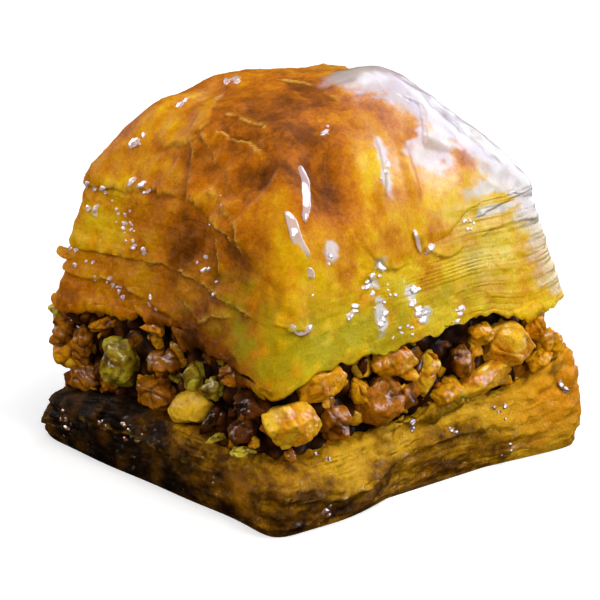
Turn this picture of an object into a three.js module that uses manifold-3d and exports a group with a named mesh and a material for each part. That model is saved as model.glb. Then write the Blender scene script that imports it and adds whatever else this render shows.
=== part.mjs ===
// A square piece of baklava as cut from its tray: a syrup-soaked stack of pastry leaves at the bottom,
// a layer of chopped nuts, and a risen stack of leaves on top whose crown is puffed and dented.
// Millimetres, +Z up, origin at the middle of the base. The sides face +X, +Y, -X and -Y.
import * as THREE from "three";
import { ConvexGeometry } from "three/addons/geometries/ConvexGeometry.js";
import { mergeVertices } from "three/addons/utils/BufferGeometryUtils.js";
import Module from "manifold-3d";

const wasm = await Module();
wasm.setup();

// ---- driving dimensions ----
const WIDTH = 40; // along X, at the base
const DEPTH = 43.2; // along Y, at the base
const BOTTOM_TOP = 7.2; // level of the bottom stack's upper side
const TOP_UNDER = 17.0; // level of the top stack's underside
const RIM = 29.6; // level where the top stack's cut sides turn into the crown
const CROWN = 40.4; // level of the crown's middle
const CROWN_FULLNESS = 3.3; // exponent of the crown's fall towards the rim: higher is flatter on top
const CROWN_SHIFT = -1.0; // the crown's middle is off centre by this much along X and along Y
const CONTACT = 0.4; // clearance kept between touching pieces
const CORNER_POWER = 18; // exponent of the rounded square: higher is sharper
const CROWN_POWER = 2.4; // the same at the crown's middle, where the corners have gone
const LEAN_FOOT = 1.0; // how far the top stack's sides stand in at their foot
const LEAN_RIM = 3.7; // and at the rim
const BOTTOM_INSET = 0.6; // how far the bottom stack's foot stands in
const BOTTOM_BULGE = 0.9; // how far its sides bulge at half height, and stand in at their upper edge
const GROOVE = 0.3; // depth of the grooves between the top stack's bundles
const LIP = 0.5; // how far a bundle's lip stands out
const LOOSE_GROOVE = 0.5; // what the loose corners add to a groove
const LOOSE_LIP = 0.6; // and to a lip
const SOAKED_LIP = 0.35; // a lip of the bottom stack
const SOAKED_LOOSE_LIP = 0.4; // what the loose corners add to it
const RIDGE_LEAN = 1.6; // how far the ridge over the corner (+X, -Y) leans towards +Y, at the rim
const RIDGE_REACH = 0.1; // over this share of the way round, to each side of it

const AROUND = 84; // points round a pastry stack
const CORE_AROUND = 40; // points round the nut layer's core
const TOP_BUNDLES = 9; // bundles of leaves that show on the top stack's sides
const BOTTOM_BUNDLES = 4;
const CROWN_RINGS = [0.99, 0.9, 0.8, 0.69, 0.57, 0.44, 0.3, 0.15]; // shares of the way out to the rim
const UNDER_RINGS = [0.45, 0.85]; // the same for the top stack's underside
const OVER_RINGS = [0.9, 0.65, 0.35]; // and for the bottom stack's upper side

const TAU = 2 * Math.PI;
const halfX = WIDTH / 2;
const halfY = DEPTH / 2;
const mix = (a, b, t) => a + (b - a) * t;

// ---- surfaces: a level plus swells, each a smooth bump or dent at (x, y) ----
const underSwells = [
  { x: 0, y: -21, reach: 7.5, rise: 2.0 }, // arched over the nuts on the -Y side
  { x: 8, y: 22, reach: 8, rise: 0.8 },
  { x: 19, y: -20.5, reach: 3.8, rise: -2.4 }, // the drooping tip
  { x: -18, y: -20.5, reach: 5.5, rise: -1.6 },
  { x: 20, y: 15, reach: 4, rise: -0.9 },
  { x: 20, y: 7.5, reach: 4, rise: 0.9 },
  { x: -20, y: 3, reach: 9, rise: 0.7 },
];
const overSwells = [
  { x: -20, y: -21.5, reach: 8, rise: -2.4 }, // crushed corner
  { x: 20, y: 21.5, reach: 4.6, rise: 5.0 }, // corner that curls up past the nuts
  { x: 20, y: 6, reach: 8, rise: 0.8 },
  { x: -5, y: -21.5, reach: 4.5, rise: 0.6 },
];
const crownSwells = [
  { x: 11.3, y: -9.5, reach: 2.6, rise: -1.7 }, // hollow beside the corner ridge
  { x: 10.8, y: -13.2, reach: 2.4, rise: 1.0 }, // the ridge down to the corner (+X, -Y)
  { x: 7.5, y: -10.5, reach: 2.6, rise: 0.8 },
  { x: 12.5, y: -4.5, reach: 2.4, rise: 1.3 },
  { x: 13.5, y: 3, reach: 2.8, rise: -0.9 },
  { x: -1, y: -13, reach: 3.6, rise: 1.1 },
  { x: -6.5, y: -8, reach: 2.8, rise: -0.9 },
  { x: -12, y: -12.5, reach: 4.5, rise: 1.7 },
  { x: -16.5, y: -18, reach: 4, rise: 1.9 },
  { x: -9, y: -1, reach: 5, rise: 0.6 },
  { x: -11.5, y: -5, reach: 4, rise: 1.3 },
  { x: 5, y: 6, reach: 5, rise: 2.3 },
  { x: 12, y: 11, reach: 4, rise: -0.6 },
  { x: -10, y: 12, reach: 5, rise: 1.2 },
  { x: 1, y: 15, reach: 3.5, rise: -1.1 },
];
// Where a stack's sides stand out or in, at a share u of the way round, and over what reach.
const topSway = [
  { u: 0.25, reach: 0.03, out: 0.5 },
  { u: 0.5, reach: 0.05, out: -0.6 },
  { u: 0.62, reach: 0.06, out: 0.5 },
  { u: 0.75, reach: 0.04, out: 0.7 },
  { u: 0.88, reach: 0.06, out: -0.5 },
];
const bottomSway = [
  { u: 0, reach: 0.03, out: 0.8 },
  { u: 0.055, reach: 0.035, out: 1.1 },
  { u: 0.13, reach: 0.05, out: -1.5 },
  { u: 0.25, reach: 0.04, out: 1.1 },
  { u: 0.4, reach: 0.06, out: -0.5 },
  { u: 0.62, reach: 0.07, out: 0.5 },
  { u: 0.75, reach: 0.03, out: 0.5 },
  { u: 0.82, reach: 0.06, out: 0.9 },
  { u: 0.91, reach: 0.04, out: 0.4 },
];
const swayAt = (sways, u) =>
  sways.reduce((sum, s) => {
    const gap = Math.abs(u - s.u);
    return sum + s.out * Math.exp(-((Math.min(gap, 1 - gap) / s.reach) ** 2));
  }, 0);
const swellAt = (swells, x, y) =>
  swells.reduce(
    (sum, s) =>
      sum +
      s.rise * Math.exp(-((x - s.x) ** 2 + (y - s.y) ** 2) / s.reach ** 2),
    0,
  );
const underLevel = (x, y) => TOP_UNDER + swellAt(underSwells, x, y);
const overLevel = (x, y) => BOTTOM_TOP + swellAt(overSwells, x, y);

// Crown height for a share rho of the way out from the middle (0) to the rim (1).
// The swells fade towards the rim.
const crownLevel = (x, y, rho) =>
  mix(RIM, CROWN, 1 - rho ** CROWN_FULLNESS) +
  swellAt(crownSwells, x, y) * Math.min(1, 0.4 + 2.5 * (1 - rho));

// ---- outline: a rounded square, u from 0 to 1 round it, starting at the corner (+X, -Y) ----
function outline(u, inset, power = CORNER_POWER) {
  const s = (u % 1) * 4;
  const side = Math.floor(s);
  const t = 2 * (s - side) - 1;
  const [x, y] = [
    [1, t],
    [-t, 1],
    [-1, -t],
    [t, -1],
  ][side];
  const k = (Math.abs(x) ** power + Math.abs(y) ** power) ** (-1 / power);
  return [x * k * (halfX - inset), y * k * (halfY - inset)];
}

// 1 at the two corners (+X, +Y) and (-X, -Y), where the leaves have come loose, and 0 at the other two.
const looseness = (u) => Math.sin(TAU * u) ** 6;
// From 0.35 at the corner (+X, -Y), where the knife pressed the leaves together, up to 1 a quarter turn away.
const pressed = (u) => 0.35 + 0.65 * Math.min(1, 4.5 * Math.min(u, 1 - u));

// How far bundle k's lip stands out at u, from 0 to 1.
const lip = (u, k) =>
  0.5 +
  0.3 * Math.sin(TAU * (3 * u + 0.37 * k * k)) +
  0.2 * Math.sin(TAU * (8 * u + 0.61 * k));

// ---- a closed surface from rings of points ----
// Each ring is counter-clockwise seen from above; they run from the underside out and up to the crown.
function fromRings(rings, lowMiddle, highMiddle) {
  const n = rings[0].length;
  const points = [...rings.flat(), lowMiddle, highMiddle];
  const low = rings.length * n;
  const high = low + 1;
  const last = (rings.length - 1) * n;
  const index = [];
  for (let j = 0; j < n; j++) {
    const next = (j + 1) % n;
    index.push(low, next, j, high, last + j, last + next);
    for (let i = 0; i < rings.length - 1; i++) {
      const [a, b] = [i * n + j, i * n + next];
      index.push(a, b, b + n, a, b + n, a + n);
    }
  }
  return new THREE.BufferGeometry()
    .setAttribute(
      "position",
      new THREE.Float32BufferAttribute(points.flat(), 3),
    )
    .setIndex(index);
}
const ringOf = (n, point) => Array.from({ length: n }, (_, j) => point(j / n));

// A ring of the flat or gently swelling middle of a piece: the outline shrunk to a share of its size.
function innerRing(n, share, inset, level) {
  return ringOf(n, (u) => {
    const [x, y] = outline(u, inset).map((v) => v * share);
    return [x, y, level(x, y)];
  });
}

// ---- the top stack: leaned sides in bundles of leaves, and the crown ----
function topPastry() {
  const lean = (v) => mix(LEAN_FOOT, LEAN_RIM, v ** 0.9);
  const ridgeLean = (u) =>
    RIDGE_LEAN * Math.exp(-((Math.min(u, 1 - u) / RIDGE_REACH) ** 2));
  // u round the stack, v from the underside (0) to the rim (1); the sway dies away upwards.
  const sidePoint = (u, v, standsOut) => {
    const sway = swayAt(topSway, u) * (1 - 0.8 * v);
    const [x, y] = outline(u, lean(v) - sway - standsOut * pressed(u));
    const z = mix(underLevel(x, y), crownLevel(x, y, 1), v);
    return [x, y + ridgeLean(u) * v, z];
  };
  const rings = UNDER_RINGS.map((share) =>
    innerRing(AROUND, share, LEAN_FOOT, underLevel),
  );
  for (let k = 0; k < TOP_BUNDLES; k++) {
    const groove = (u) => -GROOVE - LOOSE_GROOVE * looseness(u);
    const out = (u) => lip(u, k) * (LIP + LOOSE_LIP * looseness(u));
    rings.push(
      ringOf(AROUND, (u) => sidePoint(u, k / TOP_BUNDLES, groove(u))),
    );
    rings.push(
      ringOf(AROUND, (u) => sidePoint(u, (k + 0.55) / TOP_BUNDLES, out(u))),
    );
  }
  for (const rho of CROWN_RINGS) {
    const power = mix(CROWN_POWER, CORNER_POWER, rho ** 5);
    rings.push(
      ringOf(AROUND, (u) => {
        const [rimX, rimY] = outline(u, LEAN_RIM, power);
        const x = mix(CROWN_SHIFT, rimX, rho);
        const y = mix(CROWN_SHIFT, rimY + ridgeLean(u), rho);
        return [x, y, crownLevel(x, y, rho)];
      }),
    );
  }
  const middle = [CROWN_SHIFT, CROWN_SHIFT];
  return fromRings(
    rings,
    [0, 0, underLevel(0, 0)],
    [...middle, crownLevel(...middle, 0)],
  );
}

// ---- the bottom stack: soaked, so its bundles bulge and its foot is flat ----
function bottomPastry() {
  const sidePoint = (u, v, standsOut) => {
    const bulge = BOTTOM_BULGE * (Math.sin(Math.PI * v) - v);
    const out = bulge + swayAt(bottomSway, u) + standsOut;
    const [x, y] = outline(u, BOTTOM_INSET - out);
    return [x, y, overLevel(x, y) * v];
  };
  const rings = [
    innerRing(AROUND, 0.5, BOTTOM_INSET, () => 0),
    ringOf(AROUND, (u) => sidePoint(u, 0, 0)),
  ];
  for (let k = 0; k < BOTTOM_BUNDLES; k++) {
    const out = (u) =>
      SOAKED_LIP * lip(u, k + TOP_BUNDLES) + SOAKED_LOOSE_LIP * looseness(u);
    rings.push(
      ringOf(AROUND, (u) => sidePoint(u, (k + 0.5) / BOTTOM_BUNDLES, out(u))),
    );
    rings.push(
      ringOf(AROUND, (u) => sidePoint(u, (k + 0.95) / BOTTOM_BUNDLES, 0)),
    );
  }
  const edge = BOTTOM_INSET + BOTTOM_BULGE;
  for (const share of OVER_RINGS) {
    rings.push(innerRing(AROUND, share, edge, overLevel));
  }
  return fromRings(rings, [0, 0, 0], [0, 0, overLevel(0, 0)]);
}

// ---- the nut layer: a core with chopped nuts fused on all round ----
const SIDES = {
  east: (along, depth) => [halfX - depth, along],
  north: (along, depth) => [along, halfY - depth],
  west: (along, depth) => [-halfX + depth, along],
  south: (along, depth) => [along, -halfY + depth],
};

// The large pieces on the two sides that meet at the corner (+X, -Y): where the middle is along the side,
// its level, its size along the side and upwards, and its tilt in degrees.
const largeNuts = [
  { side: "south", along: -18.4, level: 13.4, long: 3.4, tall: 4.4, tilt: 0 },
  { side: "south", along: -18.2, level: 9.6, long: 3.6, tall: 4.6, tilt: 10 },
  { side: "south", along: -15.3, level: 11.4, long: 3.6, tall: 5.6, tilt: 4 },
  { side: "south", along: -14.6, level: 7.6, long: 5.4, tall: 4.0, tilt: -6 },
  { side: "south", along: -8.1, level: 11.4, long: 6.6, tall: 7.2, tilt: 0 },
  { side: "south", along: -0.6, level: 13.2, long: 6.4, tall: 3.6, tilt: 8 },
  { side: "south", along: -2.2, level: 9.3, long: 7.6, tall: 4.2, tilt: -8 },
  { side: "south", along: 4.2, level: 9.2, long: 6.6, tall: 4.6, tilt: 20 },
  { side: "south", along: 4.7, level: 13.3, long: 2.9, tall: 4.4, tilt: 0 },
  { side: "south", along: 7.5, level: 12.6, long: 2.6, tall: 3.6, tilt: -10 },
  { side: "south", along: 10.9, level: 14.9, long: 4.4, tall: 3.2, tilt: 0 },
  { side: "south", along: 13.6, level: 12.4, long: 6.8, tall: 2.9, tilt: -5 },
  { side: "south", along: 12.4, level: 9.2, long: 5.6, tall: 3.2, tilt: 10 },
  { side: "east", along: -17.4, level: 11.3, long: 8.4, tall: 5.6, tilt: -8 },
  { side: "east", along: -13.2, level: 14.7, long: 8.0, tall: 4.6, tilt: 12 },
  { side: "east", along: -11.4, level: 9.8, long: 3.8, tall: 5.0, tilt: 0 },
  { side: "east", along: -5.6, level: 10.9, long: 7.0, tall: 6.2, tilt: 10 },
  { side: "east", along: -4.1, level: 15.0, long: 7.8, tall: 4.4, tilt: -6 },
  { side: "east", along: 0.9, level: 12.3, long: 2.6, tall: 7.6, tilt: -24 },
  { side: "east", along: 4.0, level: 9.6, long: 4.4, tall: 3.6, tilt: 35 },
  { side: "east", along: 6.0, level: 12.6, long: 3.8, tall: 4.8, tilt: 10 },
  { side: "east", along: 9.4, level: 9.8, long: 8.6, tall: 3.8, tilt: 12 },
  { side: "east", along: 12.3, level: 13.2, long: 7.2, tall: 7.0, tilt: 0 },
  { side: "east", along: 16.6, level: 14.2, long: 3.4, tall: 4.4, tilt: 0 },
];
const LARGE_DEPTH = 2.2; // a large nut's middle, in from the side
const CORE_DEPTH = 3.5; // the core's sides, in from the side
const END_GAP = 8; // length of a side that its drawn rows of nuts leave free at their ends, in all
const NUT_POINTS = 15; // corners drawn for a nut's hull
const GOLDEN_ANGLE = Math.PI * (3 - Math.sqrt(5));

// The mulberry32 random generator: the same seed always gives the same numbers, from 0 to 1.
function randomFrom(seed) {
  let state = seed;
  return () => {
    state = (state + 0x6d2b79f5) | 0;
    let t = Math.imul(state ^ (state >>> 15), state | 1);
    t = (t + Math.imul(t ^ (t >>> 7), t | 61)) ^ t;
    return ((t ^ (t >>> 14)) >>> 0) / 4294967296;
  };
}

// The pieces behind and between the large ones, in three tiers, and in two tiers all those of the sides
// away from them.
function drawnNuts(random) {
  const nuts = [];
  const lengths = { east: DEPTH, north: WIDTH, west: DEPTH, south: WIDTH };
  for (const [side, length] of Object.entries(lengths)) {
    const shown = side === "east" || side === "south";
    const pitch = shown ? 4.0 : 4.8;
    const count = Math.floor((length - END_GAP) / pitch);
    const tiers = shown ? [0, 0.5, 1] : [0, 1];
    for (const tier of tiers) {
      for (let i = 0; i <= count; i++) {
        const size = shown ? mix(3.2, 4.6, random()) : mix(4.4, 6.8, random());
        nuts.push({
          side,
          along: (i - count / 2 + mix(-0.1, 0.2, tier)) * pitch + random() - 0.5,
          level: mix(9.4, 14.6, tier) + random() - 0.5,
          depth: (shown ? 3.4 : 2.3) + random(),
          long: size,
          tall: size * mix(0.7, 1.0, random()),
          tilt: mix(-40, 40, random()),
        });
      }
    }
  }
  return nuts;
}

// A chopped nut: the hull of points on a lumpy ball with two sides sliced off, kept between the two stacks.
function nutSolid(nut, random) {
  const depth = nut.depth ?? LARGE_DEPTH;
  const [x, y] = SIDES[nut.side](nut.along, depth);
  const turned = nut.side === "east" || nut.side === "west";
  const thick = Math.max(4, Math.min(nut.long, nut.tall));
  const tilt = (nut.tilt * Math.PI) / 180;
  const slices = [0, 1].map(() => {
    const turn = random() * TAU;
    return [Math.cos(turn), Math.sin(turn), 0.45 + 0.2 * random()];
  });
  const points = Array.from({ length: NUT_POINTS }, (_, i) => {
    const up = 1 - (2 * (i + 0.5)) / NUT_POINTS;
    const turn = i * GOLDEN_ANGLE + 0.5 * random();
    const radius = mix(0.8, 1.05, random());
    let along = Math.sqrt(1 - up * up) * Math.cos(turn) * radius;
    const out = Math.sqrt(1 - up * up) * Math.sin(turn) * radius;
    let high = up * radius;
    for (const [a, b, far] of slices) {
      const over = Math.max(0, along * a + high * b - far - 0.3);
      along -= over * a;
      high -= over * b;
    }
    const s = (along * nut.long) / 2;
    const h = (high * nut.tall) / 2;
    const a = s * Math.cos(tilt) - h * Math.sin(tilt);
    const z = nut.level + s * Math.sin(tilt) + h * Math.cos(tilt);
    const o = (out * thick) / 2;
    const [px, py] = turned ? [x + o, y + a] : [x + a, y + o];
    return new THREE.Vector3(
      px,
      py,
      Math.min(
        underLevel(px, py) - CONTACT,
        Math.max(overLevel(px, py) + CONTACT, z),
      ),
    );
  });
  return solidOf(new ConvexGeometry(points));
}

function nutFilling() {
  const low = (x, y) => overLevel(x, y) + CONTACT;
  const high = (x, y) => underLevel(x, y) - CONTACT;
  const shares = [0.4, 0.75, 1];
  const core = fromRings(
    [
      ...shares.map((share) => innerRing(CORE_AROUND, share, CORE_DEPTH, low)),
      ...shares
        .map((share) => innerRing(CORE_AROUND, share, CORE_DEPTH, high))
        .reverse(),
    ],
    [0, 0, low(0, 0)],
    [0, 0, high(0, 0)],
  );
  const random = randomFrom(11);
  const nuts = [...largeNuts, ...drawnNuts(random)];
  const solids = nuts.map((nut) => nutSolid(nut, random));
  return geometryOf(wasm.Manifold.union([solidOf(core), ...solids]));
}

// ---- between three.js geometry and manifold-3d solids ----
function solidOf(geometry) {
  const bare = geometry.clone();
  bare.deleteAttribute("normal");
  bare.deleteAttribute("uv");
  const merged = mergeVertices(bare, 1e-4);
  return new wasm.Manifold(
    new wasm.Mesh({
      numProp: 3,
      vertProperties: merged.attributes.position.array,
      triVerts: new Uint32Array(merged.index.array),
    }),
  );
}
function geometryOf(solid) {
  const mesh = solid.getMesh();
  return new THREE.BufferGeometry()
    .setAttribute("position", new THREE.BufferAttribute(mesh.vertProperties, 3))
    .setIndex(new THREE.BufferAttribute(mesh.triVerts, 1));
}

// ---- the part ----
function piece(name, geometry, color, roughness) {
  geometry.computeVertexNormals();
  const material = new THREE.MeshStandardMaterial({
    color,
    roughness,
    metalness: 0,
  });
  const mesh = new THREE.Mesh(geometry, material);
  mesh.name = name;
  return mesh;
}

const baklava = new THREE.Group();
baklava.add(piece("bottom_pastry", bottomPastry(), 0x6b4310, 0.3));
baklava.add(piece("nut_filling", nutFilling(), 0xb47a1e, 0.4));
baklava.add(piece("top_pastry", topPastry(), 0xd9a526, 0.25));

export default baklava;
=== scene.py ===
"""A square piece of baklava: the looks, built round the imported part.

Shapes are worked out in millimetres in the part's own frame, with the same driving dimensions as its
solids, and scaled to metres when a mesh is made.
"""

import itertools
import math

import bmesh
import bpy
import numpy as np
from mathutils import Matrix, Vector


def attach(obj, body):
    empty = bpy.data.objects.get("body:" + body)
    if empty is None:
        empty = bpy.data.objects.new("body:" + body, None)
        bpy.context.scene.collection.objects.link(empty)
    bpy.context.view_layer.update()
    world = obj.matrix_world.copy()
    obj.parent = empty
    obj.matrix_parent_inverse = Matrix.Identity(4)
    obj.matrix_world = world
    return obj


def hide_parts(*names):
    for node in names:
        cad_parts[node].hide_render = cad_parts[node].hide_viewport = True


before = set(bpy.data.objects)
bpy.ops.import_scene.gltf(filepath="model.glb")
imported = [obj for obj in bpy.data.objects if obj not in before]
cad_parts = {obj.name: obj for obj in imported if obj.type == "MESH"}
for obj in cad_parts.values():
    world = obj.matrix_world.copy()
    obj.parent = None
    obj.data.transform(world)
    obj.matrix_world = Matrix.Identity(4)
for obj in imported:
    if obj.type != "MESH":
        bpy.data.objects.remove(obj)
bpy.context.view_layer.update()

MM = 0.001

# ---- driving dimensions, as in the solids ----
WIDTH = 40.0  # along X, at the base
DEPTH = 43.2  # along Y, at the base
BOTTOM_TOP = 7.2  # level of the bottom stack's upper side
TOP_UNDER = 17.0  # level of the top stack's underside
RIM = 29.6  # level where the cut sides turn into the crown
CROWN = 40.4  # level of the crown's middle
CROWN_FULLNESS = 3.3
CROWN_SHIFT = -1.0
CORNER_POWER = 18.0
CROWN_POWER = 2.4
LEAN_FOOT = 1.0
LEAN_RIM = 3.7
RIDGE_LEAN = 1.6
RIDGE_REACH = 0.1
BOTTOM_INSET = 0.6
BOTTOM_BULGE = 0.9
GROOVE = 0.3
LIP = 0.5
LOOSE_GROOVE = 0.5
LOOSE_LIP = 0.6
SOAKED_LIP = 0.35
SOAKED_LOOSE_LIP = 0.4
TOP_BUNDLES = 9
BOTTOM_BUNDLES = 4
CONTACT = 0.4
CORE_DEPTH = 3.5
HALF_X = WIDTH / 2
HALF_Y = DEPTH / 2
LENGTHS = {"east": DEPTH, "north": WIDTH, "west": DEPTH, "south": WIDTH}
SHOWN = ("east", "south")
TAU = 2 * math.pi

# Swells: (x, y, reach, rise), each a smooth bump or dent.
UNDER_SWELLS = (
    (0, -21, 7.5, 2), (8, 22, 8, 0.8), (19, -20.5, 3.8, -2.4), (-18, -20.5, 5.5, -1.6), (20, 15, 4, -0.9),
    (20, 7.5, 4, 0.9), (-20, 3, 9, 0.7),
)
OVER_SWELLS = (
    (-20, -21.5, 8, -2.4), (20, 21.5, 4.6, 5), (20, 6, 8, 0.8), (-5, -21.5, 4.5, 0.6),
)
CROWN_SWELLS = (
    (11.3, -9.5, 2.6, -1.7), (10.8, -13.2, 2.4, 1), (7.5, -10.5, 2.6, 0.8), (12.5, -4.5, 2.4, 1.3),
    (13.5, 3, 2.8, -0.9), (-1, -13, 3.6, 1.1), (-6.5, -8, 2.8, -0.9), (-12, -12.5, 4.5, 1.7),
    (-16.5, -18, 4, 1.9), (-9, -1, 5, 0.6), (-11.5, -5, 4, 1.3), (5, 6, 5, 2.3), (12, 11, 4, -0.6),
    (-10, 12, 5, 1.2), (1, 15, 3.5, -1.1),
)
# Sways: (share of the way round, reach, how far the side stands out).
TOP_SWAY = (
    (0.25, 0.03, 0.5), (0.5, 0.05, -0.6), (0.62, 0.06, 0.5), (0.75, 0.04, 0.7), (0.88, 0.06, -0.5),
)
BOTTOM_SWAY = (
    (0, 0.03, 0.8), (0.055, 0.035, 1.1), (0.13, 0.05, -1.5), (0.25, 0.04, 1.1), (0.4, 0.06, -0.5),
    (0.62, 0.07, 0.5), (0.75, 0.03, 0.5), (0.82, 0.06, 0.9), (0.91, 0.04, 0.4),
)


def mix(a, b, t):
    return a + (b - a) * t


def smooth(low, high, x):
    """0 below `low`, 1 above `high`, and a soft step between."""
    t = np.clip((x - low) / (high - low), 0, 1)
    return t * t * (3 - 2 * t)


def corner_gap(u, at=0.0):
    """How far round u is from the place `at`, in shares of the way round."""
    gap = np.abs((u - at) % 1.0)
    return np.minimum(gap, 1 - gap)


def sway_at(sways, u):
    return sum(out * np.exp(-((corner_gap(u, at) / reach) ** 2)) for at, reach, out in sways)


def swell_at(swells, x, y):
    return sum(rise * np.exp(-((x - sx) ** 2 + (y - sy) ** 2) / reach**2) for sx, sy, reach, rise in swells)


def under_level(x, y):
    return TOP_UNDER + swell_at(UNDER_SWELLS, x, y)


def over_level(x, y):
    return BOTTOM_TOP + swell_at(OVER_SWELLS, x, y)


def crown_level(x, y, rho):
    fade = np.minimum(1, 0.4 + 2.5 * (1 - rho))
    return mix(RIM, CROWN, 1 - rho**CROWN_FULLNESS) + swell_at(CROWN_SWELLS, x, y) * fade


def outline(u, inset, power=CORNER_POWER):
    """The rounded square at a share u of the way round it, from the corner (+X, -Y)."""
    s = (u % 1.0) * 4
    side = np.floor(s).astype(int) % 4
    t = 2 * (s - side) - 1
    one = np.ones_like(t)
    x = np.choose(side, [one, -t, -one, t])
    y = np.choose(side, [t, one, -t, -one])
    k = (np.abs(x) ** power + np.abs(y) ** power) ** (-1 / power)
    return x * k * (HALF_X - inset), y * k * (HALF_Y - inset)


def looseness(u):
    """1 at the corners (+X, +Y) and (-X, -Y), where the leaves have come loose."""
    return np.sin(TAU * u) ** 6


def pressed(u):
    """How much relief the sides have, which is little at the pressed corner (+X, -Y)."""
    return 0.35 + 0.65 * np.minimum(1, 4.5 * corner_gap(u))


def lip(u, k):
    """How far the lip of bundle k stands out round the piece, as a share."""
    return 0.5 + 0.3 * np.sin(TAU * (3 * u + 0.37 * k * k)) + 0.2 * np.sin(TAU * (8 * u + 0.61 * k))


# ---- noise ----
MASK = 0xFFFFFFFF
GRADIENTS = np.random.default_rng(5).normal(size=(256, 3))
GRADIENTS /= np.linalg.norm(GRADIENTS, axis=1)[:, None]


def hashed(cell, seed):
    """A whole number for each cell of space."""
    key = (cell[:, 0] * 73856093) ^ (cell[:, 1] * 19349663) ^ (cell[:, 2] * 83492791)
    return (key ^ (seed * 40503)) & MASK


def stirred(key):
    return ((key ^ (key >> 13)) * 1274126177) & MASK


def noise(points, seed=0):
    """Gradient noise, about -1 to 1, one feature for each unit of length."""
    cell = np.floor(points).astype(np.int64)
    f = points - cell
    ease = f**3 * (f * (f * 6 - 15) + 10)
    total = np.zeros(len(points))
    for corner in itertools.product((0, 1), repeat=3):
        key = stirred(hashed(cell + corner, seed))
        gradient = GRADIENTS[(key ^ (key >> 16)) & 255]
        weight = np.prod(np.where(corner, ease, 1 - ease), axis=1)
        total += weight * np.sum(gradient * (f - corner), axis=1)
    return total * 1.6


def fbm(points, seed=0, octaves=3):
    """Noise of several scales, each half the size and half the height of the one before."""
    return sum(noise(points * 2**k, seed + 17 * k) / 2**k for k in range(octaves))


def creased(points, seed=0):
    """Narrow creases: 1 along lines, falling off to 0."""
    return np.clip(1 - 3.5 * np.abs(noise(points, seed)), 0, 1) ** 2


def lumps(points, seed):
    """Distance to the nearest of scattered centres, one in each cell of unit size: 0 at a centre."""
    cell = np.floor(points).astype(np.int64)
    least = np.full(len(points), 9.0)
    for step in itertools.product((-1, 0, 1), repeat=3):
        at = cell + step
        key = hashed(at, seed)
        centre = at.astype(float)
        for axis in range(3):
            key = stirred(key)
            centre[:, axis] += 0.15 + 0.7 * ((key >> 8) & 1023) / 1023
        least = np.minimum(least, np.linalg.norm(points - centre, axis=1))
    return least


# ---- meshes ----
# What a piece replaces, and a material slot's name.
TOP = ("top_pastry", "glazed_pastry")
FILLING = ("nut_filling", "chopped_nuts")
BOTTOM = ("bottom_pastry", "soaked_pastry")


def added(name, data):
    """A new object of the scene with this data."""
    thing = bpy.data.objects.new(name, data)
    bpy.context.scene.collection.objects.link(thing)
    return thing


def add_mesh(name, points, faces, material):
    mesh = bpy.data.meshes.new(name)
    mesh.from_pydata(points, [], faces)
    mesh.update()
    mesh.polygons.foreach_set("use_smooth", np.ones(len(mesh.polygons), bool))
    mesh.materials.append(material)
    return added(name, mesh)


def add_piece(name, points, faces, material, stands_for, fields):
    """A piece of the object: a smooth mesh on the one body, with a value per vertex for each field."""
    piece = add_mesh(name, (np.asarray(points) * MM).tolist(), faces, material)
    for field, values in fields.items():
        layer = piece.data.attributes.new(field, "FLOAT", "POINT")
        layer.data.foreach_set("value", np.asarray(values, np.float32))
    node, slot = stands_for
    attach(piece, "root")
    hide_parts(node)


def band_faces(low, high):
    """The faces between two closed loops of point numbers."""
    return np.stack([low, np.roll(low, -1), np.roll(high, -1), high], -1).tolist()


def ring_faces(rings, around):
    """The faces between closed rings of points."""
    ring = np.arange(around)
    return [f for i in range(rings - 1) for f in band_faces(ring + i * around, ring + (i + 1) * around)]


def grid_faces(grid):
    """The faces between the points of a grid of point numbers."""
    corners = (grid[:-1, :-1], grid[1:, :-1], grid[1:, 1:], grid[:-1, 1:])
    return np.stack(corners, -1).reshape(-1, 4).tolist()


def border(grid):
    """The point numbers once round the edge of a grid."""
    return np.concatenate([grid[0], grid[1:, -1], grid[-1, -2::-1], grid[-2:0:-1, 0]])


def flat_rings(u, inset, shares, level):
    """Rings over a flat side, each a share of the outline, at the level that a function of x and y gives."""
    x, y = outline(u, inset)
    return [np.stack([x * k, y * k, level(x * k, y * k) + 0 * x], -1) for k in shares]


def normals_of(points, faces):
    """A unit normal for each vertex, from the faces round it."""
    normal = np.zeros_like(points)
    for size in (3, 4):
        group = np.array([f for f in faces if len(f) == size], int)
        if len(group):
            corners = points[group]
            across = np.cross(corners[:, 2] - corners[:, 0], corners[:, 3 % size] - corners[:, 1])
            for c in range(size):
                np.add.at(normal, group[:, c], across)
    return normal / np.maximum(np.linalg.norm(normal, axis=1), 1e-12)[:, None]


def closed(rings, low, high):
    """A closed surface of rings, from the underside out and up, and two middle points, with its normals."""
    points = np.concatenate([*rings, [[0, 0, low], [0, 0, high]]])
    around = len(rings[0])
    faces = ring_faces(len(rings), around)
    middle = len(rings) * around
    for j in range(around):
        k = (j + 1) % around
        faces.append((middle, k, j))
        faces.append((middle + 1, middle - around + j, middle - around + k))
    return points, faces, normals_of(points, faces)


def joined(pieces):
    """Several meshes as one: all their points, and their faces renumbered."""
    points, faces, start = [], [], 0
    for p, f in pieces:
        points.append(p)
        faces += [tuple(i + start for i in face) for face in f]
        start += len(p)
    return np.concatenate(points), faces


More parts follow.
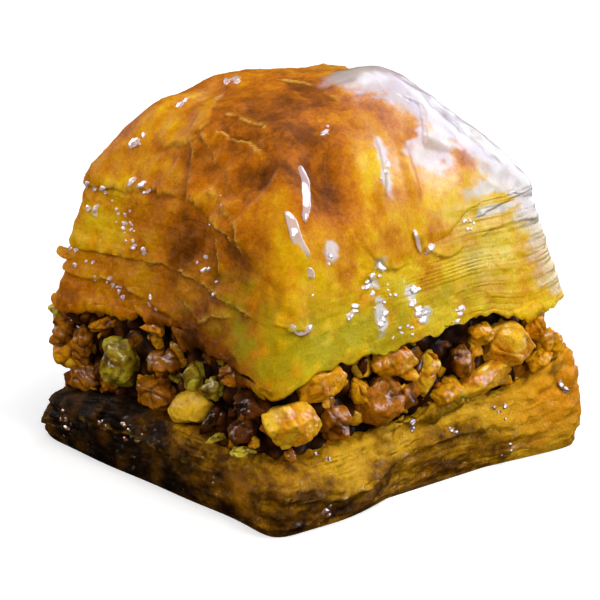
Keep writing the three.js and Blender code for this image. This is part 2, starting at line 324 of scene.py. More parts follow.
# ---- relief of the glazed skin ----
# Folds: (height, radius, points along it), in mm.
FOLDS = (
    # the ridge over the front corner: two folds, one beside the other, and the hollow to its right
    (0.55, 0.8, ((10.8, -10.9, 35.6), (12.8, -12.9, 33.8), (14, -13.5, 32.4), (14.7, -13.6, 31.4))),
    (0.55, 0.8, ((13.6, -14.9, 32.4), (14.6, -14.9, 30.8), (16, -14.9, 28.4), (16.5, -14.8, 26.8))),
    (0.35, 1.4, ((16.6, -15.6, 27), (17.5, -17, 22.5), (18.2, -18.4, 18.5))),
    (-1.1, 2.1, ((11.2, -8, 36.2), (13.6, -8.9, 33.6), (15.6, -9.4, 31))),
    (-0.6, 1.8, ((11, -14.8, 33.4), (8.6, -13.6, 35.2), (6, -12.6, 36.6))),
    # pleats that run down the bright side
    (0.8, 0.9, ((10.2, -1.2, 38), (12.6, -2.4, 35.9), (14.2, -3, 33.6), (15.6, -3.8, 31.2))),
    (0.65, 0.85, ((10.6, 3.2, 37.6), (13.2, 1.9, 34.1), (14.6, 1.6, 32.3), (15.9, 1, 30.2))),
    (0.5, 1.2, ((11.9, 9.5, 35.7), (14, 9.4, 33.4), (15.5, 9.5, 31))),
    (0.35, 1.2, ((6.7, -1.4, 39.9), (9.4, -1.8, 38.6), (10.6, -1.4, 37.7))),
    # soft folds on the other sides
    (0.5, 1.6, ((5.5, 14, 36.5), (7.5, 16.8, 31))), (0.6, 1.8, ((-6, 15, 36), (-5, 17.6, 30.5))),
    (0.5, 1.6, ((-14, 5, 35), (-16.3, 4, 29))), (0.6, 1.7, ((-13, -3, 36), (-16, -4.5, 30))),
    (-0.6, 1.9, ((-12, 10.5, 36), (-15, 11.5, 31))),
)
# Torn edges of sheets: (step, how far the sheet stands out before it settles, points along the edge). The
# sheet lies above an edge that runs to the right, seen from outside, and below it where the step is negative.
TEARS = (
    # the shown left side: the crown's hem, then the lower sheets'
    (0.4, 5, ((-17.4, -10, 29.6), (-17, -14.5, 29.2), (-16.1, -17.5, 29), (-10, -18, 29.9),
        (-5.1, -17.2, 30.8), (0.3, -16.8, 31.3), (4.4, -17.1, 29.8), (9, -17, 28.1),
        (11.6, -17.6, 26.4))),
    (0.36, 4, ((-18.6, -8, 24.4), (-18.3, -14, 23.4), (-16.6, -19.2, 22.2), (-8, -18.8, 23.1),
        (-0.8, -18.7, 23.8), (6.1, -18.6, 23), (11.4, -19, 22.1), (14, -19, 21.6))),
    (0.36, 3, ((-19, -9, 20), (-18.4, -15, 20.4), (-17.6, -19.8, 19.4), (-14, -19.8, 19.4),
        (-10.9, -19.9, 20), (-6.5, -19.9, 20.2), (-4.1, -19.6, 19.6), (0, -19.4, 19), (5, -19.5, 18))),
    (0.2, 3, ((0, -19.3, 21.8), (1.9, -19.4, 20.9), (5.6, -19.7, 19.7), (9, -19.4, 20.6),
        (10.4, -19.4, 21.2))),
    (0.22, 3, ((2.6, -16, 32.4), (4, -16, 32), (7.4, -16.5, 30.4), (8.8, -16.9, 29.4), (9.4, -17.2, 28))),
    (0.2, 3, ((-2.4, -13.9, 36.6), (-1.6, -14.5, 35.7), (-0.7, -15.7, 33.6), (0.3, -16.8, 31.3),
        (0.4, -17.4, 30))),
    (0.24, 4, ((3.7, -17.4, 30.4), (5, -17.5, 29), (6.2, -17.7, 27.4), (6.9, -18, 25.6),
        (7.2, -18.6, 23.6))),
    # over the crown
    (0.34, 6, ((-8, -15.4, 33.6), (-4.9, -14.6, 35.3), (-3, -14.3, 35.9), (-1.8, -13.6, 36.8),
        (-1, -12.6, 37.9), (-2.6, -10.6, 38.9), (-4.7, -8.8, 39.2), (-6.5, -6, 39.9))),
    (0.2, 3, ((-1.8, -13.2, 37.3), (-1.2, -13.6, 36.9), (1.3, -14.2, 35.7), (2.2, -14.8, 34.8))),
    (-0.34, 3, ((0.2, -12.8, 37.6), (1.3, -12.7, 37.5), (3.3, -12.3, 37.3), (6.1, -12.3, 37),
        (10, -12, 36.3))),
    (0.22, 3, ((-0.6, -11.6, 38.7), (1, -10.8, 38.7), (3.4, -10.6, 38.6), (6, -10.4, 38.2))),
    (0.25, 4, ((-3, -2.6, 40.3), (-0.3, -0.8, 40.6), (4.4, -1.2, 40.4), (6.7, -1.4, 39.9))),
    (0.3, 4, ((7.9, 4.5, 40.4), (9.5, 6.9, 38.7), (10.5, 6.8, 37.9), (11.5, 6, 36.7), (12.5, 5, 35))),
    (0.3, 4, ((7.8, 8, 39.6), (10.6, 10.6, 36.8), (13.2, 12.4, 34), (14.4, 14.2, 31.6))),
    # the front corner and the bright side
    (0.45, 2.5, ((15.6, -18.4, 21.6), (17.4, -17.3, 21.3), (17.9, -16.2, 20.7), (18, -14.6, 21))),
    (0.3, 3, ((16.8, -7.5, 28.4), (17, -5.8, 26.6), (17.2, -4.6, 25.2), (17.6, -2.6, 24.6),
        (17.6, -0.4, 25.2))),
    (0.3, 3, ((16.6, -1, 28.8), (17.2, 1.2, 26), (17.4, 2.6, 25), (17.6, 5, 24.4), (17.6, 7, 25.2))),
    (0.18, 3, ((17, 8, 27.6), (17, 12, 28.4), (17, 15, 29), (16.8, 17.8, 29.4))),
    (0.15, 3, ((17.2, 9, 25.6), (17.3, 13, 26.4), (17.3, 18.6, 26))),
    # the sides that the photograph doesn't show
    (0.4, 6, ((17.4, 17.4, 28.6), (10, 18.9, 28.2), (2, 18.9, 29.3), (-5, 18.8, 28.6),
        (-12, 18.4, 29.6))),
    (0.35, 5, ((18.4, 20, 24), (10, 20, 23.2), (3, 20, 24.4), (-6, 20, 23), (-15, 19.6, 24))),
    (0.35, 5, ((19, 20.4, 20), (8, 20.6, 20.4), (-4, 20.6, 19.2), (-17, 20.2, 20.4))),
    (0.4, 6, ((-17.2, 15, 28.6), (-17.6, 5, 29.4), (-17.6, -3, 28.2), (-17.4, -9, 29.4))),
    (0.35, 5, ((-18.6, 18, 23.4), (-18.6, 8, 24.2), (-18.6, 0, 22.8), (-18.6, -6, 23.6))),
    (0.35, 5, ((-19.2, 18, 19.6), (-19.2, 7, 20.4), (-19.2, -2, 19), (-19, -7, 19.8))),
)
# Places where the sheet above has torn away or lies doubled: (centre, reach along X, Y and Z, step, browner,
# how softly it ends).
PATCHES = (
    ((5.4, -13.6, 35.2), (6.6, 5, 4.2), -0.2, 0.07, 0.08),
    ((8.6, -14.4, 33.2), (3.2, 3.2, 2.6), -0.06, 0.04, 0.5),
    ((0.2, -14, 35), (2.8, 3, 2.6), -0.12, 0.05, 0.2), ((3, -7, 39.6), (6.5, 4, 3), -0.08, 0.06, 0.4),
    ((2.4, -1.6, 40.3), (4.8, 2, 2), -0.08, 0.1, 0.1),
    ((0.8, -17.8, 27), (3.8, 3, 3.2), -0.14, 0.07, 0.15), ((5, -18, 24.2), (4.2, 3, 3), -0.1, 0.04, 0.6),
    ((16.9, -9.6, 26.8), (2.2, 1.7, 3.2), 0.05, 0.12, 0.5),
    ((16.9, -2.8, 27.4), (2.2, 2.6, 2.4), 0.06, 0.15, 0.35),
    ((17, 4, 26.8), (2.2, 2.6, 2.3), 0.06, 0.13, 0.5),
    ((17.4, -6.6, 21.6), (2, 2.2, 1.6), -0.03, 0.08, 0.5),
    ((17.6, 1.6, 22.4), (2, 2.6, 1.5), -0.03, 0.1, 0.5),
    ((10.6, 8.8, 37), (1.2, 3.2, 2.6), -0.03, 0.1, 0.6),
    ((14.2, 9.5, 33.4), (1.8, 1.4, 2.4), -0.04, 0.1, 0.4),
    ((-11, 12, 35.5), (5, 4.5, 4), -0.2, 0.12, 0.1), ((2, 16.4, 33.5), (4.5, 4, 3), -0.2, 0.12, 0.1),
    ((-16, 4, 31), (3, 4.5, 3), -0.2, 0.12, 0.1),
)
# Where the skin is puckered and blistered: (centre, reach, amount).
PUCKERS = (
    ((17.6, -7.2, 24.2), 2.4, 1), ((17.3, -5.6, 25.6), 1.8, 0.8), ((17.6, 0.6, 24.8), 2.2, 0.8),
    ((16.8, -12, 26), 1.6, 0.6), ((-10, -20.5, 18), 5, 0.9), ((18.4, 8, 19), 4, 0.5),
    ((-6, 17.5, 27), 6, 0.8), ((-17, 6, 26), 6, 0.8),
)
# Which way the tops of a cluster's beads face, where they lean out of the skin's own direction.
LEFT_UP = (-0.18, -0.73, 0.66)
LEFT_LOW = (0.0, -0.91, 0.41)
RIGHT_UP = (0.95, 0.04, 0.30)
RIDGE_TOP = (0.55, -0.55, 0.63)
# Clusters of beads of syrup: (centre, how far they spread, how many, size, lean).
BEADS = (
    ((-7.7, -11.2, 38.3), 0.8, 4, 0.75, LEFT_UP), ((-9.8, -15.3, 34.7), 0.8, 5, 0.75, LEFT_UP),
    ((-14.6, -17.8, 29.4), 0.9, 5, 0.55, LEFT_UP), ((-12.2, -18.3, 29.8), 0.7, 3, 0.6, LEFT_UP),
    ((-8.6, -17.4, 30.5), 0.6, 3, 0.65, LEFT_UP), ((-6.4, -17.3, 30.8), 0.7, 4, 0.65, LEFT_UP),
    ((-13.8, -18.2, 26.8), 0.8, 5, 0.5, LEFT_UP), ((-9.6, -17.9, 27), 1.6, 9, 0.38, LEFT_UP),
    ((-7.2, -18, 26), 1.6, 9, 0.38, LEFT_UP), ((-5.2, -18.4, 24.6), 0.7, 3, 0.55, LEFT_UP),
    ((-16.4, -19.4, 21.4), 0.9, 4, 0.5, LEFT_UP), ((-10.1, -19.8, 19.8), 0.7, 4, 0.45, LEFT_UP),
    ((-7.5, -19.9, 19.9), 0.6, 3, 0.5, LEFT_UP), ((-12.6, -19.6, 20.4), 1.2, 5, 0.34, LEFT_UP),
    ((-3, -19.6, 20), 0.6, 3, 0.5, LEFT_UP), ((-1.7, -19.5, 20), 0.5, 2, 0.5, LEFT_UP),
    ((4.4, -18.5, 25.6), 1.4, 5, 0.36, LEFT_UP), ((6.6, -18.3, 23.4), 1.2, 3, 0.34, LEFT_UP),
    ((5, -16.4, 31.2), 1.6, 7, 0.22, LEFT_UP), ((-6.2, -5.2, 40), 0.9, 4, 0.6, None),
    ((8.9, -5.4, 38.6), 0.8, 4, 0.4, None), ((17, -5.2, 25.5), 0.6, 4, 0.75, RIGHT_UP),
    ((16.8, -11.5, 27.7), 0.5, 3, 0.65, RIGHT_UP), ((17.7, -6.5, 23.6), 0.9, 9, 0.62, RIGHT_UP),
    ((17.9, -9.4, 21.8), 0.6, 4, 0.5, RIGHT_UP), ((17.8, -4.6, 22.4), 1.5, 8, 0.3, RIGHT_UP),
    ((17.8, -1.2, 21.9), 0.8, 4, 0.6, RIGHT_UP), ((17, 1.8, 26), 0.6, 3, 0.6, RIGHT_UP),
    ((18.1, -6, 20), 0.7, 4, 0.5, RIGHT_UP), ((18.5, -0.2, 19.2), 0.5, 5, 0.62, RIGHT_UP),
    ((18.4, 5, 18.4), 0.7, 6, 0.42, RIGHT_UP), ((18.6, -3.2, 18.2), 1, 7, 0.34, RIGHT_UP),
    ((17.4, -14.6, 24.4), 0.8, 3, 0.5, RIGHT_UP), ((17.4, 8, 27), 0.9, 5, 0.34, RIGHT_UP),
    ((13.6, -1.6, 34.2), 1.4, 5, 0.4, None), ((4, 17, 31), 3, 12, 0.6, None),
    ((-9, 18, 29), 3, 12, 0.6, None), ((-16.8, 9, 29), 3, 12, 0.6, None),
    ((-17.8, -4, 26), 3, 12, 0.6, None),
)
# Runs of syrup: (half of its width, which way its top faces, points along it).
WET_RUNS = (
    (0.54, RIDGE_TOP, ((10.7, -10.6, 35.9), (12, -11.6, 34.9), (13, -12.5, 33.8), (14.1, -13.3, 32.7),
        (15.1, -13.7, 31.3))),
    (0.54, RIDGE_TOP, ((13.7, -14.5, 32.2), (14.6, -14.9, 31.2), (15.5, -15.1, 30.2), (16, -15, 29.2),
        (16.3, -14.7, 28.2))),
    (0.42, RIDGE_TOP, ((16.6, -14.5, 27.2), (17, -14.2, 26))),
    (0.3, RIGHT_UP, ((16.9, -0.2, 28.4), (17, 0.2, 27.4), (17.2, 0.6, 25.8))),
    (0.36, None, ((17.5, -17.6, 21.8), (17.9, -16.2, 21.2), (18, -15, 21.2))),
)
# Where the skin lies smooth: (centre, reach, amount).
CALM = (
    ((14.2, -13.4, 31.4), 4, 1), ((16.4, -15, 27), 2.6, 0.8), ((12.5, -8.6, 34), 4, 0.9),
    ((12.6, 8, 35), 10, 1.3), ((14, 14, 32), 5, 0.9), ((7, -1, 39.8), 6, 1), ((0, -8, 39.5), 7, 0.8),
    ((-8, -12.5, 37), 6.5, 0.9), ((16.9, -9.3, 26.8), 1.9, 0.9), ((16.9, -2.6, 27.4), 1.9, 0.9),
    ((17, 4.4, 26.6), 2.2, 0.9), ((12, -19, 22), 6, 0.7),
)
TEAR_RAGGED = 0.45  # how far a torn edge wanders


def nearest_on(points, line):
    """For each point: its distance to a line through several places, the offset from it, which way the line
    runs there, and the share of the line's length."""
    least = np.full(len(points), 1e9)
    offset = np.zeros_like(points)
    run = np.zeros_like(points)
    share = np.zeros(len(points))
    for i, (a, b) in enumerate(zip(line[:-1], line[1:])):
        a, b = np.array(a), np.array(b)
        t = np.clip((points - a) @ (b - a) / np.dot(b - a, b - a), 0, 1)
        away = points - a - t[:, None] * (b - a)
        distance = np.linalg.norm(away, axis=1)
        closer = distance < least
        least = np.where(closer, distance, least)
        offset[closer] = away[closer]
        run[closer] = b - a
        share = np.where(closer, (i + t) / (len(line) - 1), share)
    return least, offset, run, share


def blob(points, centre, reach):
    return np.exp(-np.sum((points - np.array(centre)) ** 2, axis=1) / reach**2)


def blobs(points, table):
    return sum(amount * blob(points, centre, reach) for centre, reach, amount in table)


def folds(p, table):
    """Rounded folds that flatten out towards both ends."""
    out = np.zeros(len(p))
    for height, radius, line in table:
        least, _, _, share = nearest_on(p, line)
        ends = smooth(-0.12, 0.35, share) * smooth(-0.12, 0.35, 1 - share)
        out += height * ends * np.exp(-((least / radius) ** 2))
    return out


def roughness(p):
    """1 where the skin is crinkled, near 0 where it lies smooth."""
    return 1 - np.clip(blobs(p, CALM), 0, 0.88)


def skin_relief(p):
    """How far the skin stands out at points p."""
    rough = roughness(p)
    out = folds(p, FOLDS)
    # soft swells, then ridges on the crown, fine ridges, puckers and grain
    out += 0.20 * mix(0.5, 1.0, rough) * fbm(p * (0.17, 0.17, 0.12), 3, 2)
    out += 0.12 * mix(0.35, 1.0, rough) * smooth(21, 29, p[:, 2]) * creased(p * (0.24, 0.24, 0.12), 8)
    out += 0.09 * rough * creased(p * (0.45, 0.45, 0.4), 9)
    pucker = np.clip(blobs(p, PUCKERS), 0, 1) * mix(0.3, 1.0, rough)
    out += pucker * (0.42 * fbm(p * 0.42, 21, 2) + 0.13 * fbm(p * 1.25, 22, 2))
    return out + 0.045 * rough * fbm(p * 0.9, 31, 3)


def tear_relief(p, normal, table):
    """The steps at torn edges: how far each point stands out, and how near it is to an edge and to a foot."""
    out, edge, foot = np.zeros(len(p)), np.zeros(len(p)), np.zeros(len(p))
    ragged = TEAR_RAGGED * (noise(p * 0.6, 44) + 0.4 * noise(p * 1.7, 45) + 0.3 * noise(p * 4.3, 46))
    lifted = smooth(-0.6, 0.3, noise(p * 0.5, 47))
    for step, settle, line in table:
        least, offset, run, share = nearest_on(p, line)
        above = -np.sign(np.sum(np.cross(run, normal) * offset, axis=1)) * np.sign(step)
        signed = above * least + ragged
        ends = smooth(0, 0.15, share) * smooth(0, 0.15, 1 - share)
        rise = abs(step) * mix(0.5, 1.2, lifted)
        out += rise * ends * smooth(-0.05, 0.07, signed) * np.exp(-np.maximum(signed, 0) / settle)
        edge = np.maximum(edge, ends * lifted * np.exp(-(((signed - 0.09) / 0.13) ** 2)))
        foot = np.maximum(foot, ends * mix(0.3, 1.0, lifted) * np.exp(-(((signed + 0.20) / 0.20) ** 2)))
    return out, edge, foot


def patch_relief(p):
    """The steps at the patches, and how much browner they are."""
    out, browner = np.zeros(len(p)), np.zeros(len(p))
    wander = 0.40 * fbm(p * 0.22, 62, 2) + 0.14 * fbm(p * 0.9, 63, 4)
    for centre, reach, step, change, softness in PATCHES:
        far = np.linalg.norm((p - np.array(centre)) / reach, axis=1) + wander
        inside = 1 - smooth(0.97 - softness, 1.0 + 0.3 * softness, far)
        out += step * inside
        browner += change * inside
    return out, browner


# ---- colour fields of the top stack: (centre, reach, amount) ----
# Browner above 0, paler below: baked colour, and painted shade in the hollow right of the front ridge and low
# on the -Y side.
BROWNING_AND_PAINTED_SHADE = (
    ((6.5, -13, 36), 5, 0.1), ((9.8, -13.6, 34.4), 2.6, 0.12), ((1, -9.5, 38.9), 4.5, 0.08),
    ((1, -1, 40.6), 5.5, 0.14), ((5, -8, 39.4), 4.5, 0.12), ((4.5, 3.5, 41), 2.6, -0.2),
    # the hollow right of the front ridge: painted shade
    ((13.2, -8.6, 33.9), 2.8, 0.32), ((10.6, -6.5, 36.6), 3.2, 0.16), ((15.2, -9.2, 31.6), 2.2, 0.16),
    ((1.2, -18, 26.6), 2.4, 0.12), ((5.5, -18, 24.5), 3, -0.02), ((13.2, -19.4, 19.4), 3.8, 0.13),
    ((8.6, -19.4, 19.6), 3, 0.06), ((-2, -16.8, 30.5), 4, 0.06), ((17, -10, 27), 2.4, -0.06),
    ((17, -4, 26.5), 2.6, -0.07), ((17.3, 3, 25.8), 2.6, -0.01), ((15.5, 1.5, 29.5), 3, -0.02),
    ((12.5, 6, 35.5), 2.5, 0.04), ((-3, -18.4, 26), 5, 0.04), ((-8, -19, 22), 4, 0.16),
    ((1, -18.6, 21), 5, 0.3), ((9, -18.6, 23), 4.5, 0.24), ((8.5, -17, 29), 3.4, 0.24),
    ((11.5, -17.6, 26), 2.8, 0.14), ((6, -19.2, 18.5), 4.5, 0.28), ((-4, -19.2, 19.5), 3, 0.1),
    ((-9, -13.5, 36.5), 6, -0.16), ((-3.5, -11, 38.6), 3.5, -0.06), ((-11, -18, 29), 4, -0.1),
    ((13, -2.5, 35), 2.6, -0.26), ((13.4, -5.2, 34.6), 2.4, -0.22), ((4, -18, 27.5), 3, 0.08),
    ((16.5, -15.5, 27.5), 3.4, -0.22), ((14.4, -16.2, 30.6), 1.9, -0.22), ((12, -14, 33.6), 1.6, -0.14),
    ((15.5, 6, 31), 5, -0.18), ((17.5, 11, 25), 5, -0.1), ((18.2, -9, 20.4), 1.8, -0.22),
    ((18.4, -1.6, 22), 1.8, -0.2), ((18.6, 3, 19.4), 2, -0.2), ((18.2, -13.4, 19.6), 1.6, -0.18),
    # from here on, the browner places low on the -Y side are painted shade
    ((-13, -18.5, 24.5), 5, -0.1), ((-16, -20, 18.5), 4.5, 0.24), ((-9, -20, 17), 4, 0.28),
    ((-3, -19.5, 16.5), 3, 0.22), ((-17, -20, 14.5), 3, 0.25), ((14.5, -19.4, 14.2), 3.4, 0.55),
    ((10, -19.2, 15.2), 3, 0.6), ((5, -18.8, 16.2), 2.8, 0.6), ((0, -18.8, 17.4), 2.6, 0.4),
    ((-12, 12, 36), 6, 0.16), ((2, 16, 34), 5, 0.16), ((-16, 3, 31), 5, 0.16),
)
LIME = (
    ((18.8, -17.5, 18), 4.5, 0.9), ((19, -12, 18), 4.5, 1), ((19, -5, 18), 4.5, 0.9),
    ((19, 3, 19), 4.5, 0.5), ((13, -20, 18.5), 4.5, 0.5), ((6, -20, 19.5), 4.5, 0.5),
    ((11, -19, 24), 4, 0.4), ((12, -20, 19.5), 4.5, 0.3), ((18, 9, 20), 4, 0.3),
    ((17.5, 9, 25), 3.5, 0.3), ((-4, -19, 22.5), 5, 0.2),
)
# Where the skin has a broad soft sheen.
SHEEN = (
    ((12, 9, 35), 5, 0.6), ((4.5, 3.5, 41), 3.2, 0.9), ((14, 6.6, 33.6), 3.2, 0.4),
    ((13.6, -1, 34.4), 3, 0.4), ((17.5, 10, 25), 5, 0.25), ((-7.5, -8, 39.6), 3, 0.4),
    ((0, -8, 39.6), 6, -0.3), ((0, 17, 31), 10, 0.6), ((-16, 8, 31), 9, 0.6),
)
# A wet band along the shown side's far shoulder, and wet places: (centre, reach along X, Y and Z). Both carry
# the coat's gloss and a painted sheen, a lavender-white highlight painted into the colour.
WET_AND_PAINTED_SHEEN_BAND = (
    (4, 3.5, 41.2), (7.8, 7, 40.2), (10.8, 10.6, 36.6), (12.9, 13.8, 33.9), (15.4, 16.6, 31),
    (17.2, 18.8, 27), (18.4, 19.8, 21),
)
WET_AND_PAINTED_SHEEN_REACH = 3.9
WET_AND_PAINTED_SHEEN_PLACES = (
    ((13, 6, 34.8), (2.4, 2.8, 2.6)), ((16.2, 12.4, 30.4), (2.2, 4.4, 0.9)),
    ((16.9, 13, 28.2), (2, 4.6, 0.6)), ((12.6, -1, 35.5), (2.4, 1.2, 2.4)),
    ((14.4, -2, 33.2), (1.8, 1, 2.2)), ((17, -5.2, 25.7), (1.2, 1.1, 0.7)),
    ((17.4, -6.1, 23.8), (1.2, 1.2, 0.7)), ((18.1, -5.8, 20.3), (1.2, 0.8, 2)),
    ((18.3, 0.2, 19.4), (1.2, 0.9, 0.9)), ((17.8, -1.3, 21.9), (1.2, 0.8, 0.7)),
    ((16.5, -11.3, 28), (0.9, 0.8, 1.1)),
)


def wet_gloss_and_painted_sheen(p):
    """Where the skin is wet and glossy, and where a painted sheen, a lavender-white highlight, is painted
    over the baked colour.
    """
    wander = 0.42 * fbm(p * (0.35, 0.25, 0.5), 65, 2) + 0.30 * fbm(p * (1.0, 0.7, 1.6), 66, 4)
    sheen = 1 - smooth(0.6, 1.15, nearest_on(p, WET_AND_PAINTED_SHEEN_BAND)[0] / WET_AND_PAINTED_SHEEN_REACH + 0.6 * wander)
    sheen *= mix(0.5, 1.0, smooth(22, 28, p[:, 2])) * mix(1.0, 0.35, smooth(2.5, 6.0, p[:, 1] - p[:, 0]))
    for centre, reach in WET_AND_PAINTED_SHEEN_PLACES:
        far = np.linalg.norm((p - np.array(centre)) / reach, axis=1) + 1.3 * wander
        sheen = np.maximum(sheen, 0.9 * (1 - smooth(0.6, 1.15, far)))
    return sheen


def top_fields(p, groove=0.0, tone=0.0, tear=0.0, raised=0.0):
    """The values that the glazed pastry's material reads, at points p."""
    toast = 0.27 + 0.24 * smooth(21, 36, p[:, 2]) + blobs(p, BROWNING_AND_PAINTED_SHADE) + patch_relief(p)[1] - 0.3 * raised
    # The side that faces -Y is painted browner, as painted shade.
    toast += 0.16 * smooth(0.0, 16.0, -p[:, 1] - 0.35 * p[:, 0]) * smooth(18, 25, p[:, 2])
    toast += 0.13 * fbm(p * 0.28, 51, 4) + 0.06 * fbm(p * 1.1, 52, 3)
    wet = wet_gloss_and_painted_sheen(p)
    # paler under the painted sheen
    toast -= 0.12 * wet
    sheen = 0.02 + blobs(p, SHEEN) * (0.85 + 0.9 * fbm(p * (0.45, 0.3, 0.45), 59, 3))
    lime = blobs(p, LIME) * (1 - smooth(0.55, 0.85, toast)) * (1 + fbm(p * 0.45, 53, 4))
    nothing = np.zeros(len(p))
    return {
        "toast": np.clip(toast, 0, 1),
        "lime": np.clip(lime, 0, 1),
        "groove": nothing + groove,
        "tone": nothing + tone,
        "tear": nothing + tear,
        "gloss": np.clip(np.maximum(sheen, 0.8 * wet), 0.01, 1),
        "sunk": wet,
        "rough": roughness(p),
    }


# ---- the top stack's leaves ----
TOP_AROUND = 600
TOP_LEAVES = 26
THICKNESS = (0.6, 1.5)  # least and most of a leaf's share, before they are made to fit the stack
LEAF_RELIEF = 0.045  # how far a loose leaf's edge stands out of the groove beside it
# A leaf's section: (share of its thickness, share of its relief).
LEAF_PROFILE = ((0.0, 0.0), (0.16, 0.85), (0.5, 1.0), (0.84, 0.85))
BUNDLE_SHARE = 0.06  # how much of the solids' bundles shows
# Broad sheets that end part of the way down: (share of the height, step, how far its edge lifts, seed).
SIDE_HEMS = ((0.30, 0.22, 0.3, 4), (0.55, 0.25, 0.35, 5), (0.78, 0.2, 0.2, 6))
UNSHOWN = ((0.27, 0.33), (0.67, 0.73))  # the sides behind begin and end between these shares of the way round
UNDERSIDE_SHARES = (0.45, 0.8, 0.95)
# how dark the underside is painted, as painted shade
UNDERSIDE_PAINTED_SHADE = 0.8
SAGGING = 3  # how many of the lowest leaves sag
SAG = 0.9
SAG_PLACE = (0.93, 0.05, 0.7)  # where they sag most: share of the way round, reach, how much more
TUCKED_IN = (0.97, -1.0)  # the last ring, under the crown's sheet: share of the height, how far out


def circle(u):
    return np.stack([np.cos(TAU * u), np.sin(TAU * u), 0 * u], -1)


def ridge_lean(u):
    return RIDGE_LEAN * np.exp(-((corner_gap(u) / RIDGE_REACH) ** 2))


def top_side(u, v, out):
    """A point of the top stack's sides: u round it, v from the underside (0) to the rim (1), out in mm."""
    lean = mix(LEAN_FOOT, LEAN_RIM, np.clip(v, 0, 2) ** 0.9)
    sway = sway_at(TOP_SWAY, u) * (1 - 0.8 * v)
    x, y = outline(u, lean - sway - out)
    z = mix(under_level(x, y), crown_level(x, y, 1.0), v)
    return np.stack([x, y + ridge_lean(u) * v, z], -1)


def bundle_relief(u, v):
    """The solids' own bundles: a groove at each k / TOP_BUNDLES and a lip above it."""
    k = np.clip(np.floor(v * TOP_BUNDLES), 0, TOP_BUNDLES - 1)
    share = v * TOP_BUNDLES - k
    groove = -GROOVE - LOOSE_GROOVE * looseness(u)
    above = np.where(k == TOP_BUNDLES - 1, 0.0, groove)
    out = lip(u, k) * (LIP + LOOSE_LIP * looseness(u))
    relief = np.where(share < 0.55, mix(groove, out, share / 0.55), mix(out, above, (share - 0.55) / 0.45))
    return relief * pressed(u)


def leaf_looseness(p, u, v):
    """How separate the leaves are: fused by syrup near the corner (+X, -Y), looser in patches elsewhere."""
    u = u % 1.0
    far = smooth(0.06, 0.16, corner_gap(u)) * (1 - 0.75 * smooth(0.74, 0.77, u))
    far *= 1 - 0.55 * smooth(0.185, 0.215, u) * (1 - smooth(0.255, 0.29, u))
    patch = smooth(-0.1, 0.4, fbm(p * (0.12, 0.12, 0.3), 61, 2))
    low = 1 + 0.8 * (1 - smooth(0.0, 0.12, v))
    return mix(0.1, 1.0, far * mix(0.25, 1.0, patch)) * low * (1 - smooth(0.93, 1.0, v))


def side_sheets(u, v):
    """Relief of the broad sheets on the sides, and how near each point is to a sheet's edge and its foot."""
    ring = circle(u)
    behind = smooth(*UNSHOWN[0], u % 1.0) * (1 - smooth(*UNSHOWN[1], u % 1.0))
    out, edge, foot = np.zeros_like(u), np.zeros_like(u), np.zeros_like(u)
    for base, step, lift, seed in SIDE_HEMS:
        hem = base + 0.09 * fbm(ring * 2.2, seed, 2) + 0.014 * fbm(ring * 22, seed + 40, 3)
        above = v - hem
        shown = behind * smooth(-0.3, 0.1, noise(ring * 1.7, seed + 80) + 0.25)
        raised = lift * np.clip(noise(ring * 5, seed + 60) + 0.1, 0, 1) * np.exp(-np.maximum(above, 0) / 0.05)
        out += shown * smooth(-0.005, 0.007, above) * (step * np.exp(-np.maximum(above, 0) / 0.3) + raised)
        edge = np.maximum(edge, shown * np.exp(-(((above - 0.006) / 0.009) ** 2)))
        foot = np.maximum(foot, shown * np.exp(-(((above + 0.014) / 0.014) ** 2)))
    return out, edge, foot


def leaf_edges(random, count):
    """Where the leaves begin and end, as shares of the stack's height."""
    thickness = random.uniform(*THICKNESS, count)
    return np.concatenate([[0], np.cumsum(thickness)]) / thickness.sum()


